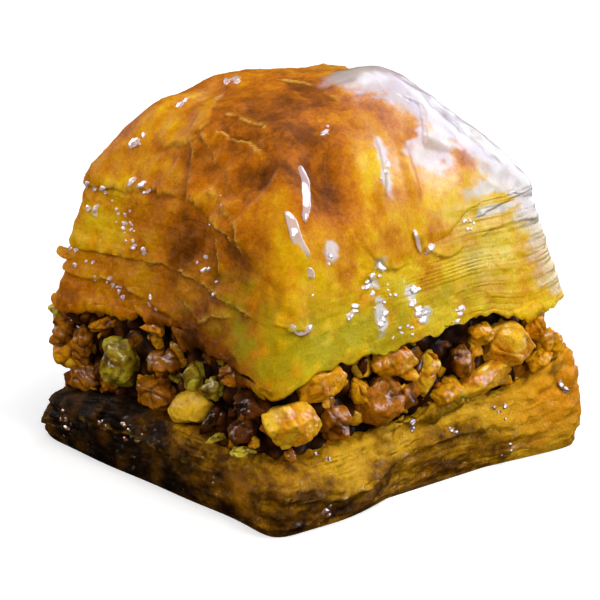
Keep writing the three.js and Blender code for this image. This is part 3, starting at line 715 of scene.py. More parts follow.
def top_leaves(material):
    u = np.arange(TOP_AROUND) / TOP_AROUND
    random = np.random.default_rng(7)
    edges = leaf_edges(random, TOP_LEAVES)
    tones = random.uniform(-1, 1, TOP_LEAVES)
    plain = np.zeros(TOP_AROUND)
    # Each row: a ring's points, and its groove, tone and tear; the groove is painted shade, darker between
    # the leaves, at the foot of the hems and on the underside.
    under = flat_rings(u, LEAN_FOOT, UNDERSIDE_SHARES, under_level)
    rows = [(ring, plain + UNDERSIDE_PAINTED_SHADE, plain, plain) for ring in under]
    flat_count = len(rows)
    for i in range(TOP_LEAVES):
        for share, stand in LEAF_PROFILE:
            v = mix(edges[i], edges[i + 1], share) + plain
            p = top_side(u, v, plain)
            drift = 0.022 * fbm(p * (0.09, 0.09, 0.05), 71, 3) * np.sin(np.pi * np.clip(v, 0, 1))
            v = np.clip(v + drift, 0, 1)
            loose = leaf_looseness(p, u, v)
            flat = p * (0.4, 0.4, 0) + (0, 0, i * 7.3)
            ragged = 0.5 + 0.5 * fbm(flat, 80, 3) + 0.25 * noise(flat * 4.5, 81)
            flap = np.clip(noise(flat * 0.6, 90) - 0.25, 0, 1) * looseness(u) ** 0.5 * 2.5
            out = bundle_relief(u, v) * BUNDLE_SHARE
            out += loose * (LEAF_RELIEF * (stand * (0.45 + ragged) - 0.55) + stand * LEAF_RELIEF * 2.4 * flap)
            sheet, edge, foot = side_sheets(u, v)
            q = top_side(u, v, out + sheet)
            if i < SAGGING:
                hang = np.clip(0.25 + 0.7 * fbm(flat * 1.1, 95, 3), 0, 1.2)
                hang += SAG_PLACE[2] * np.exp(-(((u - SAG_PLACE[0]) / SAG_PLACE[1]) ** 2))
                q[:, 2] -= hang * (1 - (i + share) / SAGGING) * SAG
            # painted shade between the leaves and at the foot of each side sheet's hem
            groove = np.maximum((1 - stand) * np.clip(loose, 0.1, 1) * 0.4, foot)
            rows.append((q, groove, plain + tones[i], edge))
    # painted shade on the ring tucked under the crown's sheet
    rows.append((top_side(u, plain + TUCKED_IN[0], plain + TUCKED_IN[1]), plain + 1, plain, plain))
    rings, painted_shades, tones_at, tears_at = zip(*rows)
    points, faces, normal = closed(rings, under_level(0.0, 0.0), RIM)
    step, edge, foot = tear_relief(points, normal, TEARS)
    sides = np.zeros(len(points))
    sides[flat_count * TOP_AROUND : -2] = 1
    points += normal * ((skin_relief(points) + step + patch_relief(points)[0]) * sides)[:, None]
    # painted shade at the foot of each torn edge, and on the two middle points
    groove = np.maximum(np.concatenate([*painted_shades, [1, 1]]), foot * sides)
    tear = np.maximum(np.concatenate([*tears_at, [0, 0]]), edge * sides)
    tone = np.concatenate([*tones_at, [0, 0]])
    add_piece("top_leaves", points, faces, material, TOP, top_fields(points, groove, tone, tear, step))
    return points, normal


# ---- the crown: the outermost sheets, from the middle out over the rim to a torn hem ----
CROWN_CELLS = 258  # cells of its grid each way
HEM_START = 1.0  # share of the way out where the crown turns down at the rim
HEM_END = 1.2
HEM_SHARES = (0.02, 0.7)  # least and most of the side's height that the hem covers
SKIN_THICK = 0.25
SKIN_STANDS_OUT = 0.12  # where the syrup has fused it to the leaves, its hem sinks into them instead
UNDER_SHARES = (0.95, 0.6, 0.3)  # where the loops that close the sheet underneath run
UNDER_DROP = 1.5
UNDER_MIDDLE = 2.0  # how far under the crown's middle they meet


def round_share(a, b):
    """The share u of the way round for places (a, b) on the edge of the square from -1 to 1."""
    side = np.where(np.abs(a) >= np.abs(b), np.where(a > 0, 0, 2), np.where(b > 0, 1, 3))
    return np.choose(side, [(1 + b) / 8, 0.25 + (1 - a) / 8, 0.5 + (1 - b) / 8, 0.75 + (1 + a) / 8])


def hem_drop(u):
    """How far down the side the crown's hem reaches, as a share of the side's height."""
    ring = circle(u)
    east = smooth(0.0, 0.02, u) * (1 - smooth(0.12, 0.2, u))
    south = smooth(0.93, 0.985, u)
    front = np.maximum(np.maximum(east, south), np.exp(-((corner_gap(u) / 0.03) ** 2)))
    drop = mix(0.05, 0.5, front) + mix(0.05, 0.12, front) * fbm(ring * 5, 33, 3)
    return np.clip(drop + 0.02 * fbm(ring * 30, 34, 2), *HEM_SHARES)


def crown_point(s, t):
    """A point of the sheet for a place (s, t) of its grid, with its shares of the way out and round."""
    rho = np.maximum(np.maximum(np.abs(s), np.abs(t)), 1e-6)
    u = round_share(s / rho, t / rho)
    inner = np.minimum(rho, HEM_START)
    power = mix(CROWN_POWER, CORNER_POWER, inner**5)
    x, y = outline(u, LEAN_RIM - 0.2 * sway_at(TOP_SWAY, u) * inner**8, power)
    x = mix(CROWN_SHIFT, x, inner)
    y = mix(CROWN_SHIFT, y + ridge_lean(u), inner)
    crown = np.stack([x, y, crown_level(x, y, inner)], -1)
    v = 1 - hem_drop(u) * np.maximum(0, rho - HEM_START) / (HEM_END - HEM_START)
    side = top_side(u, v, bundle_relief(u, v) * BUNDLE_SHARE)
    return np.where((rho > HEM_START)[:, None], side, crown), rho, u


def crown_sheet(material):
    n = CROWN_CELLS + 1
    axis = np.linspace(-HEM_END, HEM_END, n)
    s, t = (a.ravel() for a in np.meshgrid(axis, axis, indexing="ij"))
    points, rho, u = crown_point(s, t)
    grid = np.arange(n * n).reshape(n, n)
    faces = grid_faces(grid)
    normal = normals_of(points, faces)
    step, edge, foot = tear_relief(points, normal, TEARS)
    fused = np.maximum(1 - smooth(0.09, 0.15, corner_gap(u)), 1 - smooth(0.21, 0.24, u % 1.0))
    down = np.clip((rho - HEM_START) / (HEM_END - HEM_START), 0, 1)
    stands_out = mix(SKIN_STANDS_OUT, -SKIN_STANDS_OUT, fused * smooth(0.5, 0.85, down))
    relief = skin_relief(points) + step + patch_relief(points)[0]
    outer = points + normal * (relief + stands_out)[:, None]
    outer_normal = normals_of(outer, faces)
    # The hem's loop, and loops under the sheet that close it.
    hem = border(grid)
    parts = [outer, outer[hem] - normal[hem] * SKIN_THICK]
    for share in UNDER_SHARES:
        inner, _, _ = crown_point(s[hem] * share / HEM_END, t[hem] * share / HEM_END)
        inner[:, 2] -= UNDER_DROP
        parts.append(inner)
    parts.append([[CROWN_SHIFT, CROWN_SHIFT, CROWN - UNDER_MIDDLE]])
    loops = [hem] + [len(outer) + i * len(hem) + np.arange(len(hem)) for i in range(len(parts) - 2)]
    for low, high in zip(loops[:-1], loops[1:]):
        faces += band_faces(low, high)
    points = np.concatenate(parts)
    last = loops[-1]
    faces += np.stack([last, np.roll(last, -1), 0 * last + len(points) - 1], -1).tolist()
    # painted shade at the foot of each torn edge, carried as the groove field
    groove, tear, raised = (np.pad(values, (0, len(points) - len(outer))) for values in (foot, edge, step))
    add_piece("crown_sheet", points, faces, material, TOP, top_fields(points, groove, 0.0, tear, raised))
    return outer, outer_normal


# ---- beads and runs of syrup ----
NEAR_POINTS = 6000  # how many of the skin's points are looked at round a cluster
RUN_STEPS = 28
RUN_AROUND = 16
RUN_RISE = 0.12
RUN_LIFT = 0.16  # how far its middle stands off the skin
RUN_SMOOTHING = 14  # how often its line is evened out
BEAD_LENGTHS = (0.45, 1.1)  # shares of the cluster's size
BEAD_WIDTHS = (0.5, 0.9)  # shares of the bead's length
FACING_LEAN = 0.8  # how far a bead turns from the skin's direction to its cluster's own


def skin_at(spot, points, normals, reach):
    """The place on the skin nearest to a spot, and the skin's mean direction round it."""
    foot = points[np.argmin(np.sum((points - spot) ** 2, axis=1))]
    normal = np.sum(normals * np.exp(-np.sum((points - foot) ** 2, axis=1) / reach**2)[:, None], axis=0)
    return foot, normal / np.linalg.norm(normal)


def bead(foot, normal, long, wide, tall, turn):
    """A low irregular dome, half buried in the skin."""
    directions, faces = BALLS[4 if long > 0.7 else 3]
    level = np.cross(normal, (0.0, 0.0, 1.0))
    level /= max(np.linalg.norm(level), 1e-6)
    along = level * math.cos(turn) + np.cross(level, normal) * math.sin(turn)
    across = np.cross(normal, along)
    uneven = 1 + 0.60 * fbm(directions * (1.1, 1.1, 0.2) + foot * 3.1, 141, 3)
    shape = directions * np.stack([uneven, uneven, np.ones_like(uneven)], -1) * (long, wide, 1)
    shape[:, 2] = np.sign(shape[:, 2]) * np.abs(shape[:, 2]) ** 0.6 * tall
    return foot + shape @ np.array([along, across, normal]), faces


def wet_run(line, half_width, lean, points, normals):
    """A low flat-topped run of syrup along a line on the skin."""
    spots = np.array(line)
    at = np.linspace(0, len(spots) - 1, RUN_STEPS)
    spots = np.stack([np.interp(at, range(len(line)), spots[:, axis]) for axis in range(3)], -1)
    feet = [skin_at(spot, points, normals, 0.7) for spot in spots]
    centre = np.array([foot + RUN_LIFT * direction for foot, direction in feet])
    normal = np.array([direction for _, direction in feet])
    for _ in range(RUN_SMOOTHING):
        centre[1:-1] = (centre[:-2] + 2 * centre[1:-1] + centre[2:]) / 4
    run = np.gradient(centre, axis=0)
    run /= np.linalg.norm(run, axis=1)[:, None]
    if lean:
        normal = np.array(lean) - (run @ np.array(lean))[:, None] * run
        normal /= np.linalg.norm(normal, axis=1)[:, None]
    across = np.cross(normal, run)
    across /= np.linalg.norm(across, axis=1)[:, None]
    taper = np.clip(1 - np.abs(2 * np.linspace(0, 1, RUN_STEPS) - 1) ** 3, 0, 1) ** 0.5
    taper *= 1 + 0.2 * fbm(centre * 0.8, 142, 2)
    level = np.minimum(1, taper * 1.5)[:, None]
    rings = []
    for k in range(RUN_AROUND):
        turn = TAU * k / RUN_AROUND
        side = math.copysign(abs(math.cos(turn)) ** 0.8, math.cos(turn)) * half_width
        rise = math.copysign(abs(math.sin(turn)) ** 0.5, math.sin(turn)) * RUN_RISE
        rings.append(centre + across * (side * taper)[:, None] + normal * rise * level)
    return np.stack(rings, 1).reshape(-1, 3), ring_faces(RUN_STEPS, RUN_AROUND)


def clusters(rows, points, normals, random):
    """The beads of each cluster, on the skin that the points and normals give."""
    pieces = []
    for centre, spread, count, size, lean in rows:
        near = np.argsort(np.sum((points - np.array(centre)) ** 2, axis=1))[:NEAR_POINTS]
        around, directions = points[near], normals[near]
        for _ in range(count):
            spot = np.array(centre) + random.normal(size=3) * spread * 0.6
            foot, normal = skin_at(spot, around, directions, 0.35)
            if lean:
                normal = mix(normal, np.array(lean), FACING_LEAN)
            normal = normal + random.normal(size=3) * 0.06
            long = size * random.uniform(*BEAD_LENGTHS)
            wide = long * random.uniform(*BEAD_WIDTHS)
            normal /= np.linalg.norm(normal)
            pieces.append(bead(foot, normal, long, wide, 0.05 + 0.14 * wide, random.normal() * 0.4))
    return pieces


def syrup_beads(material, sheets):
    points, normals = (np.concatenate(part) for part in zip(*sheets))
    pieces = [wet_run(line, half, lean, points, normals) for half, lean, line in WET_RUNS]
    pieces += clusters(BEADS, points, normals, np.random.default_rng(31))
    at, faces = joined(pieces)
    add_piece("syrup_beads", at, faces, material, TOP, top_fields(at))


# ---- the bottom stack ----
BOTTOM_AROUND = 520
BOTTOM_LEAVES = 13
FOOT_SHARES = (0.5, 0.97)
RIM_SHARES = (0.998, 0.992, 0.984, 0.975, 0.965, 0.95, 0.93, 0.91, 0.88, 0.85, 0.8, 0.72, 0.6, 0.4)
# Places: (centre, reach, amount), darker with syrup above 0 and lighter below.
SOAKING = (
    ((-4, -22, 3), 8, 0.5), ((-13, -22, 3), 9, 0.6), ((-21, -16, 3), 8, 0.5), ((5, -22.5, 1), 6, 0.35),
    ((13, -22, 0.5), 5, 0.18), ((19.5, -20, 0.8), 3.5, 0.2), ((20.5, -15, 1.2), 4, 0.24),
    ((18.6, 1, 2.6), 4, 0.2), ((19.5, 8, 3), 3.4, 0.25), ((20, -8, 0.5), 4, 0.2),
    ((13, -20.5, 6.5), 5.5, 0.2), ((18.5, -20, 6.8), 3.5, 0.12), ((19.6, -11, 5.5), 4.5, -0.2),
    ((18.5, -2, 6.5), 4, -0.15), ((19.5, 9, 7), 5, -0.25), ((20.5, 19, 7), 7, -0.45),
)
ORANGE = (
    ((21, 22, 8), 5.5, 0.9), ((20.5, 16, 5), 4, 0.5), ((14.5, -21.7, 3.6), 2.6, 0.3),
    ((-20, 20, 5), 6, 0.5),
)
# Torn edges of the soaked sheets, as above.
SOAKED_TEARS = (
    (0.7, 4, ((16, -21.8, 4.2), (18.5, -21.6, 4.2), (20.2, -20.7, 4), (20.7, -18.8, 3.8),
        (20.9, -16.3, 3.5), (21, -13.1, 2.9), (20.7, -10.4, 3), (19.6, -6.2, 3.7), (18.5, -0.3, 4.4),
        (18.7, 3.9, 4.6), (19.5, 9.5, 4.6), (20.2, 14, 3.6))),
    (0.5, 3, ((-19, -22.4, 4.6), (-12, -22.5, 4.2), (-4, -22.3, 4.8), (4, -22, 4.4), (10, -21.8, 5))),
    (0.5, 3, ((17, 22, 4), (6, 21.8, 3.6), (-6, 21.6, 4.2), (-16, 21.6, 3.8))),
    (0.5, 3, ((-20, 16, 4), (-20, 4, 3.6), (-20, -8, 4.2), (-20, -16, 3.8))),
)
CHEWY_CORNER = (20.4, 18.6, 10.0)  # where the nuts' syrup has run over the raised corner and set in lumps
CHEWY_REACH = 4.6
CHEWY_LUMPS = 0.55  # lumps in a millimetre
RIM_RELIEF = 1.6  # how much deeper the relief is on the upper side
FLOOR_GAP = 0.04  # nothing but the foot comes nearer to the floor
SOAKED_BUNDLES = 0.25  # how much of the solids' bundles shows
# Clusters of syrup drops, as above.
DROPS = (
    ((-15.2, -22.2, 3.3), 0.9, 7, 0.42, LEFT_LOW), ((-8, -22.1, 5), 0.7, 5, 0.38, LEFT_LOW),
    ((-4, -22, 5.2), 0.8, 5, 0.38, LEFT_LOW), ((-2.1, -22.2, 4.7), 0.5, 3, 0.36, LEFT_LOW),
    ((10.2, -21.5, 4.8), 2, 4, 0.26, LEFT_LOW), ((17.8, -1.1, 6.5), 0.7, 5, 0.42, RIGHT_UP),
    ((18.6, 4.2, 5.2), 0.6, 5, 0.46, RIGHT_UP), ((19, 10.6, 6.4), 0.9, 5, 0.4, RIGHT_UP),
    ((19.6, 11.5, 1.8), 0.6, 3, 0.35, RIGHT_UP), ((20.6, -15.5, 1.5), 0.9, 5, 0.38, RIGHT_UP),
    ((20.8, 18.8, 7), 0.5, 3, 0.5, RIGHT_UP), ((18.8, -14, 6.6), 0.8, 4, 0.3, RIGHT_UP),
)


def bottom_side(u, v, out):
    bulge = BOTTOM_BULGE * (np.sin(np.pi * v) - v)
    x, y = outline(u, BOTTOM_INSET - bulge - sway_at(BOTTOM_SWAY, u) - out)
    return np.stack([x, y, over_level(x, y) * v], -1)


def bottom_bundles(u, v):
    """The solids' own bundles: a lip at each (k + 0.5) / BOTTOM_BUNDLES and a groove near (k + 0.95)."""
    k = np.clip(np.floor(v * BOTTOM_BUNDLES), 0, BOTTOM_BUNDLES - 1)
    share = v * BOTTOM_BUNDLES - k
    out = SOAKED_LIP * lip(u, k + TOP_BUNDLES) + SOAKED_LOOSE_LIP * looseness(u)
    return out * np.clip(1 - np.abs(share - 0.5) / 0.5, 0, 1)


def bottom_fields(p, groove=0.0, tear=0.0):
    """The values that the soaked pastry's material reads, at points p."""
    soak = 0.36 + blobs(p, SOAKING) + 0.28 * fbm(p * (0.22, 0.22, 0.5), 55, 4) + 0.10 * fbm(p * 1.4, 56, 3)
    soak -= 0.10 * smooth(3, 7, p[:, 2])
    nothing = np.zeros(len(p))
    return {
        "soak": np.clip(soak, 0, 1),
        "orange": np.clip(blobs(p, ORANGE) + 0.15 * noise(p * 0.4, 57), 0, 1),
        "gloss": 0.02 + 0.9 * smooth(0.5, 0.72, fbm(p * 1.7, 58, 3)),
        "groove": nothing + groove,
        "tear": nothing + tear,
    }


def bottom_stack(material):
    u = np.arange(BOTTOM_AROUND) / BOTTOM_AROUND
    plain = np.zeros_like(u)
    edges = leaf_edges(np.random.default_rng(9), BOTTOM_LEAVES)
    rings = flat_rings(u, BOTTOM_INSET, FOOT_SHARES, lambda x, y: 0)
    # Painted shade: full on the underside, between the leaves, and a little on the upper side.
    painted_shades = [plain + 1] * len(rings)
    foot_count = len(rings) * BOTTOM_AROUND
    for i in range(BOTTOM_LEAVES):
        for share, stand in LEAF_PROFILE:
            v = mix(edges[i], edges[i + 1], share) + plain
            p = bottom_side(u, v, plain)
            drift = 0.07 * fbm(p * (0.12, 0.12, 0.05), 72, 2) * np.sin(np.pi * v)
            v = np.clip(v + drift, 0, 1)
            ragged = 0.5 + 0.5 * fbm(p * (0.35, 0.35, 0) + (0, 0, 50 + i * 7.3), 82, 3)
            wet = mix(0.1, 1.0, smooth(-0.2, 0.6, noise(p * (0.15, 0.15, 0.4), 83)))
            out = bottom_bundles(u, v) * SOAKED_BUNDLES + wet * 0.06 * (stand * (0.5 + ragged) - 0.6)
            rings.append(bottom_side(u, v, out * smooth(0, 0.06, v)))
            painted_shades.append((1 - stand) * wet * 0.4)
    sides_count = len(rings) * BOTTOM_AROUND
    rings += flat_rings(u, BOTTOM_INSET + BOTTOM_BULGE, RIM_SHARES, over_level)
    painted_shades += [plain + 0.3] * len(RIM_SHARES)
    points, faces, normal = closed(rings, 0.0, over_level(0.0, 0.0))
    step, edge, foot = tear_relief(points, normal, SOAKED_TEARS)
    bump = step + 0.34 * fbm(points * (0.22, 0.22, 0.30), 84, 3) + 0.20 * fbm(points * (0.8, 0.8, 1.1), 85, 4)
    bump += 0.22 * creased(points * (0.22, 0.22, 0.5), 86) - 0.12 * creased(points * (0.5, 0.5, 0.9), 87)
    chewy = blob(points, CHEWY_CORNER, CHEWY_REACH)
    pits = lumps(points * CHEWY_LUMPS, 9)
    bump += chewy * (0.9 * smooth(0.9, 0.2, pits) - 0.4)
    bump *= smooth(0.1, 1.0, points[:, 2])
    bump[sides_count:] *= RIM_RELIEF
    points += normal * bump[:, None]
    points[:foot_count, 2] = 0
    points[foot_count:-2, 2] = np.maximum(points[foot_count:-2, 2], FLOOR_GAP)
    # painted shade at the foot of the torn edges and in the pits of the lumpy corner
    groove = np.maximum(np.concatenate([*painted_shades, [1, 0.3]]), foot)
    groove = np.maximum(groove, chewy * smooth(0.55, 0.85, pits) * 1.2)
    fields = bottom_fields(points, groove, edge)
    fields["gloss"] = fields["gloss"] * (1 - 0.9 * smooth(0.15, 0.6, normal[:, 2]))
    add_piece("soaked_leaves", points, faces, material, BOTTOM, fields)
    return points, normal


def syrup_drops(material, points, normals):
    at, faces = joined(clusters(DROPS, points, normals, np.random.default_rng(37)))
    add_piece("syrup_drops", at, faces, material, BOTTOM, {})


# ---- the nuts ----
# side, along, level, long, tall, tilt, kind: as in the solids, and what each piece is.
LARGE_NUTS = (
    ("south", -18.4, 13.4, 3.4, 4.4, 0, "brown"), ("south", -18.2, 9.6, 3.6, 4.6, 10, "amber"),
    ("south", -15.3, 11.4, 3.6, 5.6, 4, "brown"), ("south", -14.6, 7.6, 5.4, 4, -6, "brown"),
    ("south", -8.1, 11.4, 6.6, 7.2, 0, "green"), ("south", -0.6, 13.2, 6.4, 3.6, 8, "brown"),
    ("south", -2.2, 9.3, 7.6, 4.2, -8, "brown"), ("south", 3.6, 9, 8, 4.8, 24, "pale"),
    ("south", 4.7, 13.3, 2.9, 4.4, 0, "green"), ("south", 7.5, 12.6, 2.6, 3.6, -10, "green"),
    ("south", 10.9, 14.9, 4.4, 3.2, 0, "brown"), ("south", 13.6, 12.4, 6.8, 2.9, -5, "dark"),
    ("south", 12.4, 9.2, 5.6, 3.2, 10, "dark"), ("east", -17.4, 11.3, 8.4, 5.6, -8, "pale"),
    ("east", -13.2, 14.7, 8, 4.6, 12, "amber"), ("east", -11.4, 9.8, 3.8, 5, 0, "brown"),
    ("east", -5.6, 10.9, 7, 6.2, 10, "brown"), ("east", -4.1, 15, 7.8, 4.4, -6, "amber"),
    ("east", 0.9, 12.3, 2.6, 7.6, -24, "pale"), ("east", 4, 9.6, 4.4, 3.6, 35, "amber"),
    ("east", 6, 12.6, 3.8, 4.8, 10, "brown"), ("east", 9.4, 9.8, 8.6, 3.8, 12, "pale"),
    ("east", 12.3, 13.2, 7.2, 7, 0, "pale"), ("east", 16.6, 14.2, 3.4, 4.4, 0, "amber"),
)
# Nuts that stand in gaps of the ring: side, along, level, depth, long, tall, tilt, kind.
MORE_NUTS = (
    ("south", -18.3, 11.6, 2, 3, 5.2, 6, "brown"), ("south", -18.6, 14.6, 2, 2.6, 2.4, 0, "green"),
    ("south", -11.6, 14.6, 2.8, 6, 1.8, 22, "amber"), ("south", -11.2, 9, 2.6, 3.4, 3.4, 0, "dark"),
    ("south", 9.2, 7.6, 1.2, 1.4, 1.6, 0, "green"), ("east", 8.8, 15, 2.4, 4.4, 3, -8, "amber"),
    ("east", 18.8, 11.6, 2, 4.2, 4.6, 12, "amber"), ("east", 17.6, 10, 1.8, 4.4, 3.6, 8, "amber"),
    ("east", -8.2, 12.6, 2.8, 2.6, 3.6, 0, "amber"), ("south", -17, 14.4, 3.4, 4.4, 4.2, 0, "dark"),
    ("south", 14, 7.6, 0.6, 3, 1.8, -8, "green"), ("south", -16.3, 7.1, 2.2, 3, 3.6, 0, "brown"),
)
LARGE_DEPTH = 2.2
END_GAP = 8
# The ring's own nuts on a shown side, and on one behind: pitch, least and most size, least depth, tiers.
SHOWN_RING = (4.0, (3.2, 4.6), 3.4, (0, 0.5, 1))
HIDDEN_RING = (4.8, (4.4, 6.8), 2.3, (0, 1))
TIER_LEVELS = (9.4, 14.6)  # of the lowest and the highest tier
STEEPEST = 40
CORNER_CLEAR = 14.5  # the ring leaves room for the large nut beyond this, at the front corner
NUT_POINTS = 15
GOLDEN_ANGLE = math.pi * (3 - math.sqrt(5))
LARGE_FROM = 40  # a nut whose face is larger than this, in square mm, has the finest mesh
KINDS = ("pale", "amber", "brown", "dark", "green")
RING_MIX = (0.2, 0.3, 0.27, 0.13, 0.1)  # how common each kind is in the ring, and among the crumbs
CRUMB_MIX = (0.2, 0.25, 0.29, 0.16, 0.10)
HIDDEN_BITS = 30  # chopped bits on the two sides behind
HIDDEN_SPAN = 31  # how far along a side they are spread
CRUMBS = 204
CRUMB_SPAN = 0.43  # how far from a side's middle they lie, as a share of its length
CUTS = (5, 9)  # fewest and most flat cuts that a chopped nut has
CUT_DEPTH = (0.70, 0.92)  # how near its middle a cut passes, as a share of the nut's own reach there
LEAST_AWAY = 0.15  # no cut passes nearer to the middle
# How crisply the cut faces meet, and how deep the furrows, lumps and grain are, for each kind.
ROUGHNESS = {
    "pale": (70, 0.07, 0.05, 0.07),
    "amber": (60, 0.12, 0.09, 0.09),
    "brown": (36, 0.16, 0.13, 0.10),
    "dark": (26, 0.12, 0.12, 0.06),
    "green": (18, 0.16, 0.16, 0.08),
}
# Nuts with a tone of their own: (middle, how much lighter). The first, a wedge that juts out, is painted
# lighter as painted light; the second is darker, for a more orange colour.
NUT_TONES_AND_PAINTED_LIGHT = (((4.2, -18.8, 9.0), 3.0), ((17.8, 12.3, 13.2), -0.6))
BRIGHT_REACH = 3  # how near to that place the nut's own middle is
LUMP_PITCH = 2.1  # size of the small bits that the core is made of
CORE_OUT = 0.4  # how far it stands out of the solids' own core
CORE_AROUND = 420
CORE_RINGS = 40


def random_from(seed):
    """The mulberry32 generator, as in the solids, so that both draw the same nuts."""
    state = seed

    def draw():
        nonlocal state
        state = (state + 0x6D2B79F5) & MASK
        t = ((state ^ (state >> 15)) * (state | 1)) & MASK
        t = ((t + (((t ^ (t >> 7)) * (t | 61)) & MASK)) & MASK) ^ t
        return (t ^ (t >> 14)) / 4294967296

    return draw


def place(side, along, depth):
    return {
        "east": (HALF_X - depth, along),
        "north": (along, HALF_Y - depth),
        "west": (-HALF_X + depth, along),
        "south": (along, -HALF_Y + depth),
    }[side]


def drawn_nuts(random):
    nuts = []
    for side, length in LENGTHS.items():
        pitch, sizes, least_depth, tiers = SHOWN_RING if side in SHOWN else HIDDEN_RING
        count = math.floor((length - END_GAP) / pitch)
        for tier in tiers:
            for i in range(count + 1):
                size = mix(*sizes, random())
                along = (i - count / 2 + mix(-0.1, 0.2, tier)) * pitch + random() - 0.5
                level = mix(*TIER_LEVELS, tier) + random() - 0.5
                depth = least_depth + random()
                tall = size * mix(0.7, 1.0, random())
                nuts.append((side, along, level, depth, size, tall, mix(-STEEPEST, STEEPEST, random())))
    return nuts


def nut_corners(nut, random):
    """The corners of the solid nut, kept between the two stacks."""
    side, along, level, depth, long, tall, tilt = nut
    x, y = place(side, along, depth)
    turned = side in ("east", "west")
    thick = max(4, min(long, tall))
    tilt = math.radians(tilt)
    slices = []
    for _ in range(2):
        turn = random() * TAU
        slices.append((math.cos(turn), math.sin(turn), 0.45 + 0.2 * random()))
    corners = []
    for i in range(NUT_POINTS):
        up = 1 - 2 * (i + 0.5) / NUT_POINTS
        turn = i * GOLDEN_ANGLE + 0.5 * random()
        radius = mix(0.8, 1.05, random())
        flat = math.sqrt(1 - up * up)
        a, o, h = flat * math.cos(turn) * radius, flat * math.sin(turn) * radius, up * radius
        for ca, ch, far in slices:
            over = max(0, a * ca + h * ch - far - 0.3)
            a -= over * ca
            h -= over * ch
        s, t = a * long / 2, h * tall / 2
        shift = s * math.cos(tilt) - t * math.sin(tilt)
        z = level + s * math.sin(tilt) + t * math.cos(tilt)
        px, py = (x + o * thick / 2, y + shift) if turned else (x + shift, y + o * thick / 2)
        z = min(under_level(px, py) - CONTACT, max(over_level(px, py) + CONTACT, z))
        corners.append((px, py, z))
    return np.array(corners)


def ball(detail):
    """Directions over a ball and the triangles between them."""
    shape = bmesh.new()
    bmesh.ops.create_icosphere(shape, subdivisions=detail, radius=1)
    points = np.array([v.co for v in shape.verts])
    faces = [tuple(v.index for v in f.verts) for f in shape.faces]
    shape.free()
    return points, faces


BALLS = {detail: ball(detail) for detail in (3, 4, 5, 6)}


def hull_planes(corners, middle):
    """The outer planes of the corners' convex hull: each normal, and its distance from the middle."""
    shape = bmesh.new()
    for c in corners:
        shape.verts.new(c)
    bmesh.ops.convex_hull(shape, input=shape.verts)
    shape.normal_update()
    planes = {}
    for f in shape.faces:
        normal = f.normal.copy()
        away = normal.dot(f.verts[0].co - Vector(middle))
        if away < 0:
            normal.negate()
        planes[tuple(round(c, 3) for c in normal)] = (np.array(normal), max(abs(away), LEAST_AWAY))
    shape.free()
    return list(planes.values())


def nut_surface(corners, detail, seed, kind):
    """A chopped nut inside its solid's corners, with flat cuts and furrows: points, faces, four fields."""
    directions, faces = BALLS[detail]
    middle = corners.mean(0)
    planes = hull_planes(corners, middle)
    random = np.random.default_rng(1000 + seed)
    for _ in range(random.integers(CUTS[0], CUTS[1] + 1)):
        normal = random.normal(size=3)
        normal /= np.linalg.norm(normal)
        reach = np.max((corners - middle) @ normal)
        planes.append((normal, max(reach * random.uniform(*CUT_DEPTH), LEAST_AWAY)))
    sharpness, furrowed, lumpy, grainy = ROUGHNESS[kind]
    ways = np.maximum(0, np.stack([directions @ normal / away for normal, away in planes]))
    most = np.max(ways, axis=0)
    radius = np.sum((ways / most) ** sharpness, axis=0) ** (-1 / sharpness) / most
    crest = np.sort(ways, axis=0)
    rim = smooth(0.86, 0.99, crest[-2] / crest[-1])
    size = radius.mean()
    at = directions * radius[:, None]
    shift = np.array([seed * 3.7, seed * 1.9, seed * 5.3])
    uneven = lumpy * fbm(at * (1.1 / size) + shift, 101, 3)
    furrow = creased(at * (0.8 / size) + shift, 102) * furrowed
    pits = grainy * (fbm(at * 1.1 + shift, 103, 3) - 0.8 * creased(at * 1.3 + shift, 105))
    radius = radius * (1.05 + uneven) + pits - furrow * size
    points = middle + directions * radius[:, None]
    # cut: lighter on the cut faces and towards the edges between them, darker in the furrows as painted shade
    cut = np.clip(0.5 + 0.8 * noise(at * (0.8 / size) + shift, 104) + 0.3 * rim - 1.5 * furrow, 0, 1)
    # a random tone per nut, painted shade that darkens the nuts towards the -Y side, and the listed nuts' own
    # changes
    tone_and_painted_light = np.full(len(points), random.uniform(-1, 1)) - 0.7 * smooth(6, 14, -middle[1] - 0.5 * middle[0])
    for spot, brighter in NUT_TONES_AND_PAINTED_LIGHT:
        if np.linalg.norm(middle - spot) < BRIGHT_REACH:
            tone_and_painted_light += brighter
    # deep: painted shade, darker the farther a point lies in from the sides
    depth = np.minimum(HALF_X - np.abs(points[:, 0]), HALF_Y - np.abs(points[:, 1]))
    return points, faces, cut, np.clip(furrow * 5 - pits * 2.5, 0, 1), tone_and_painted_light, smooth(1.5, 3.9, depth)


def between(side, along, depth, low_gap, high_gap, share):
    """A spot at a side, a share of the way up between the two stacks."""
    x, y = place(side, along, depth)
    return np.array([x, y, mix(over_level(x, y) + low_gap, under_level(x, y) - high_gap, share)])


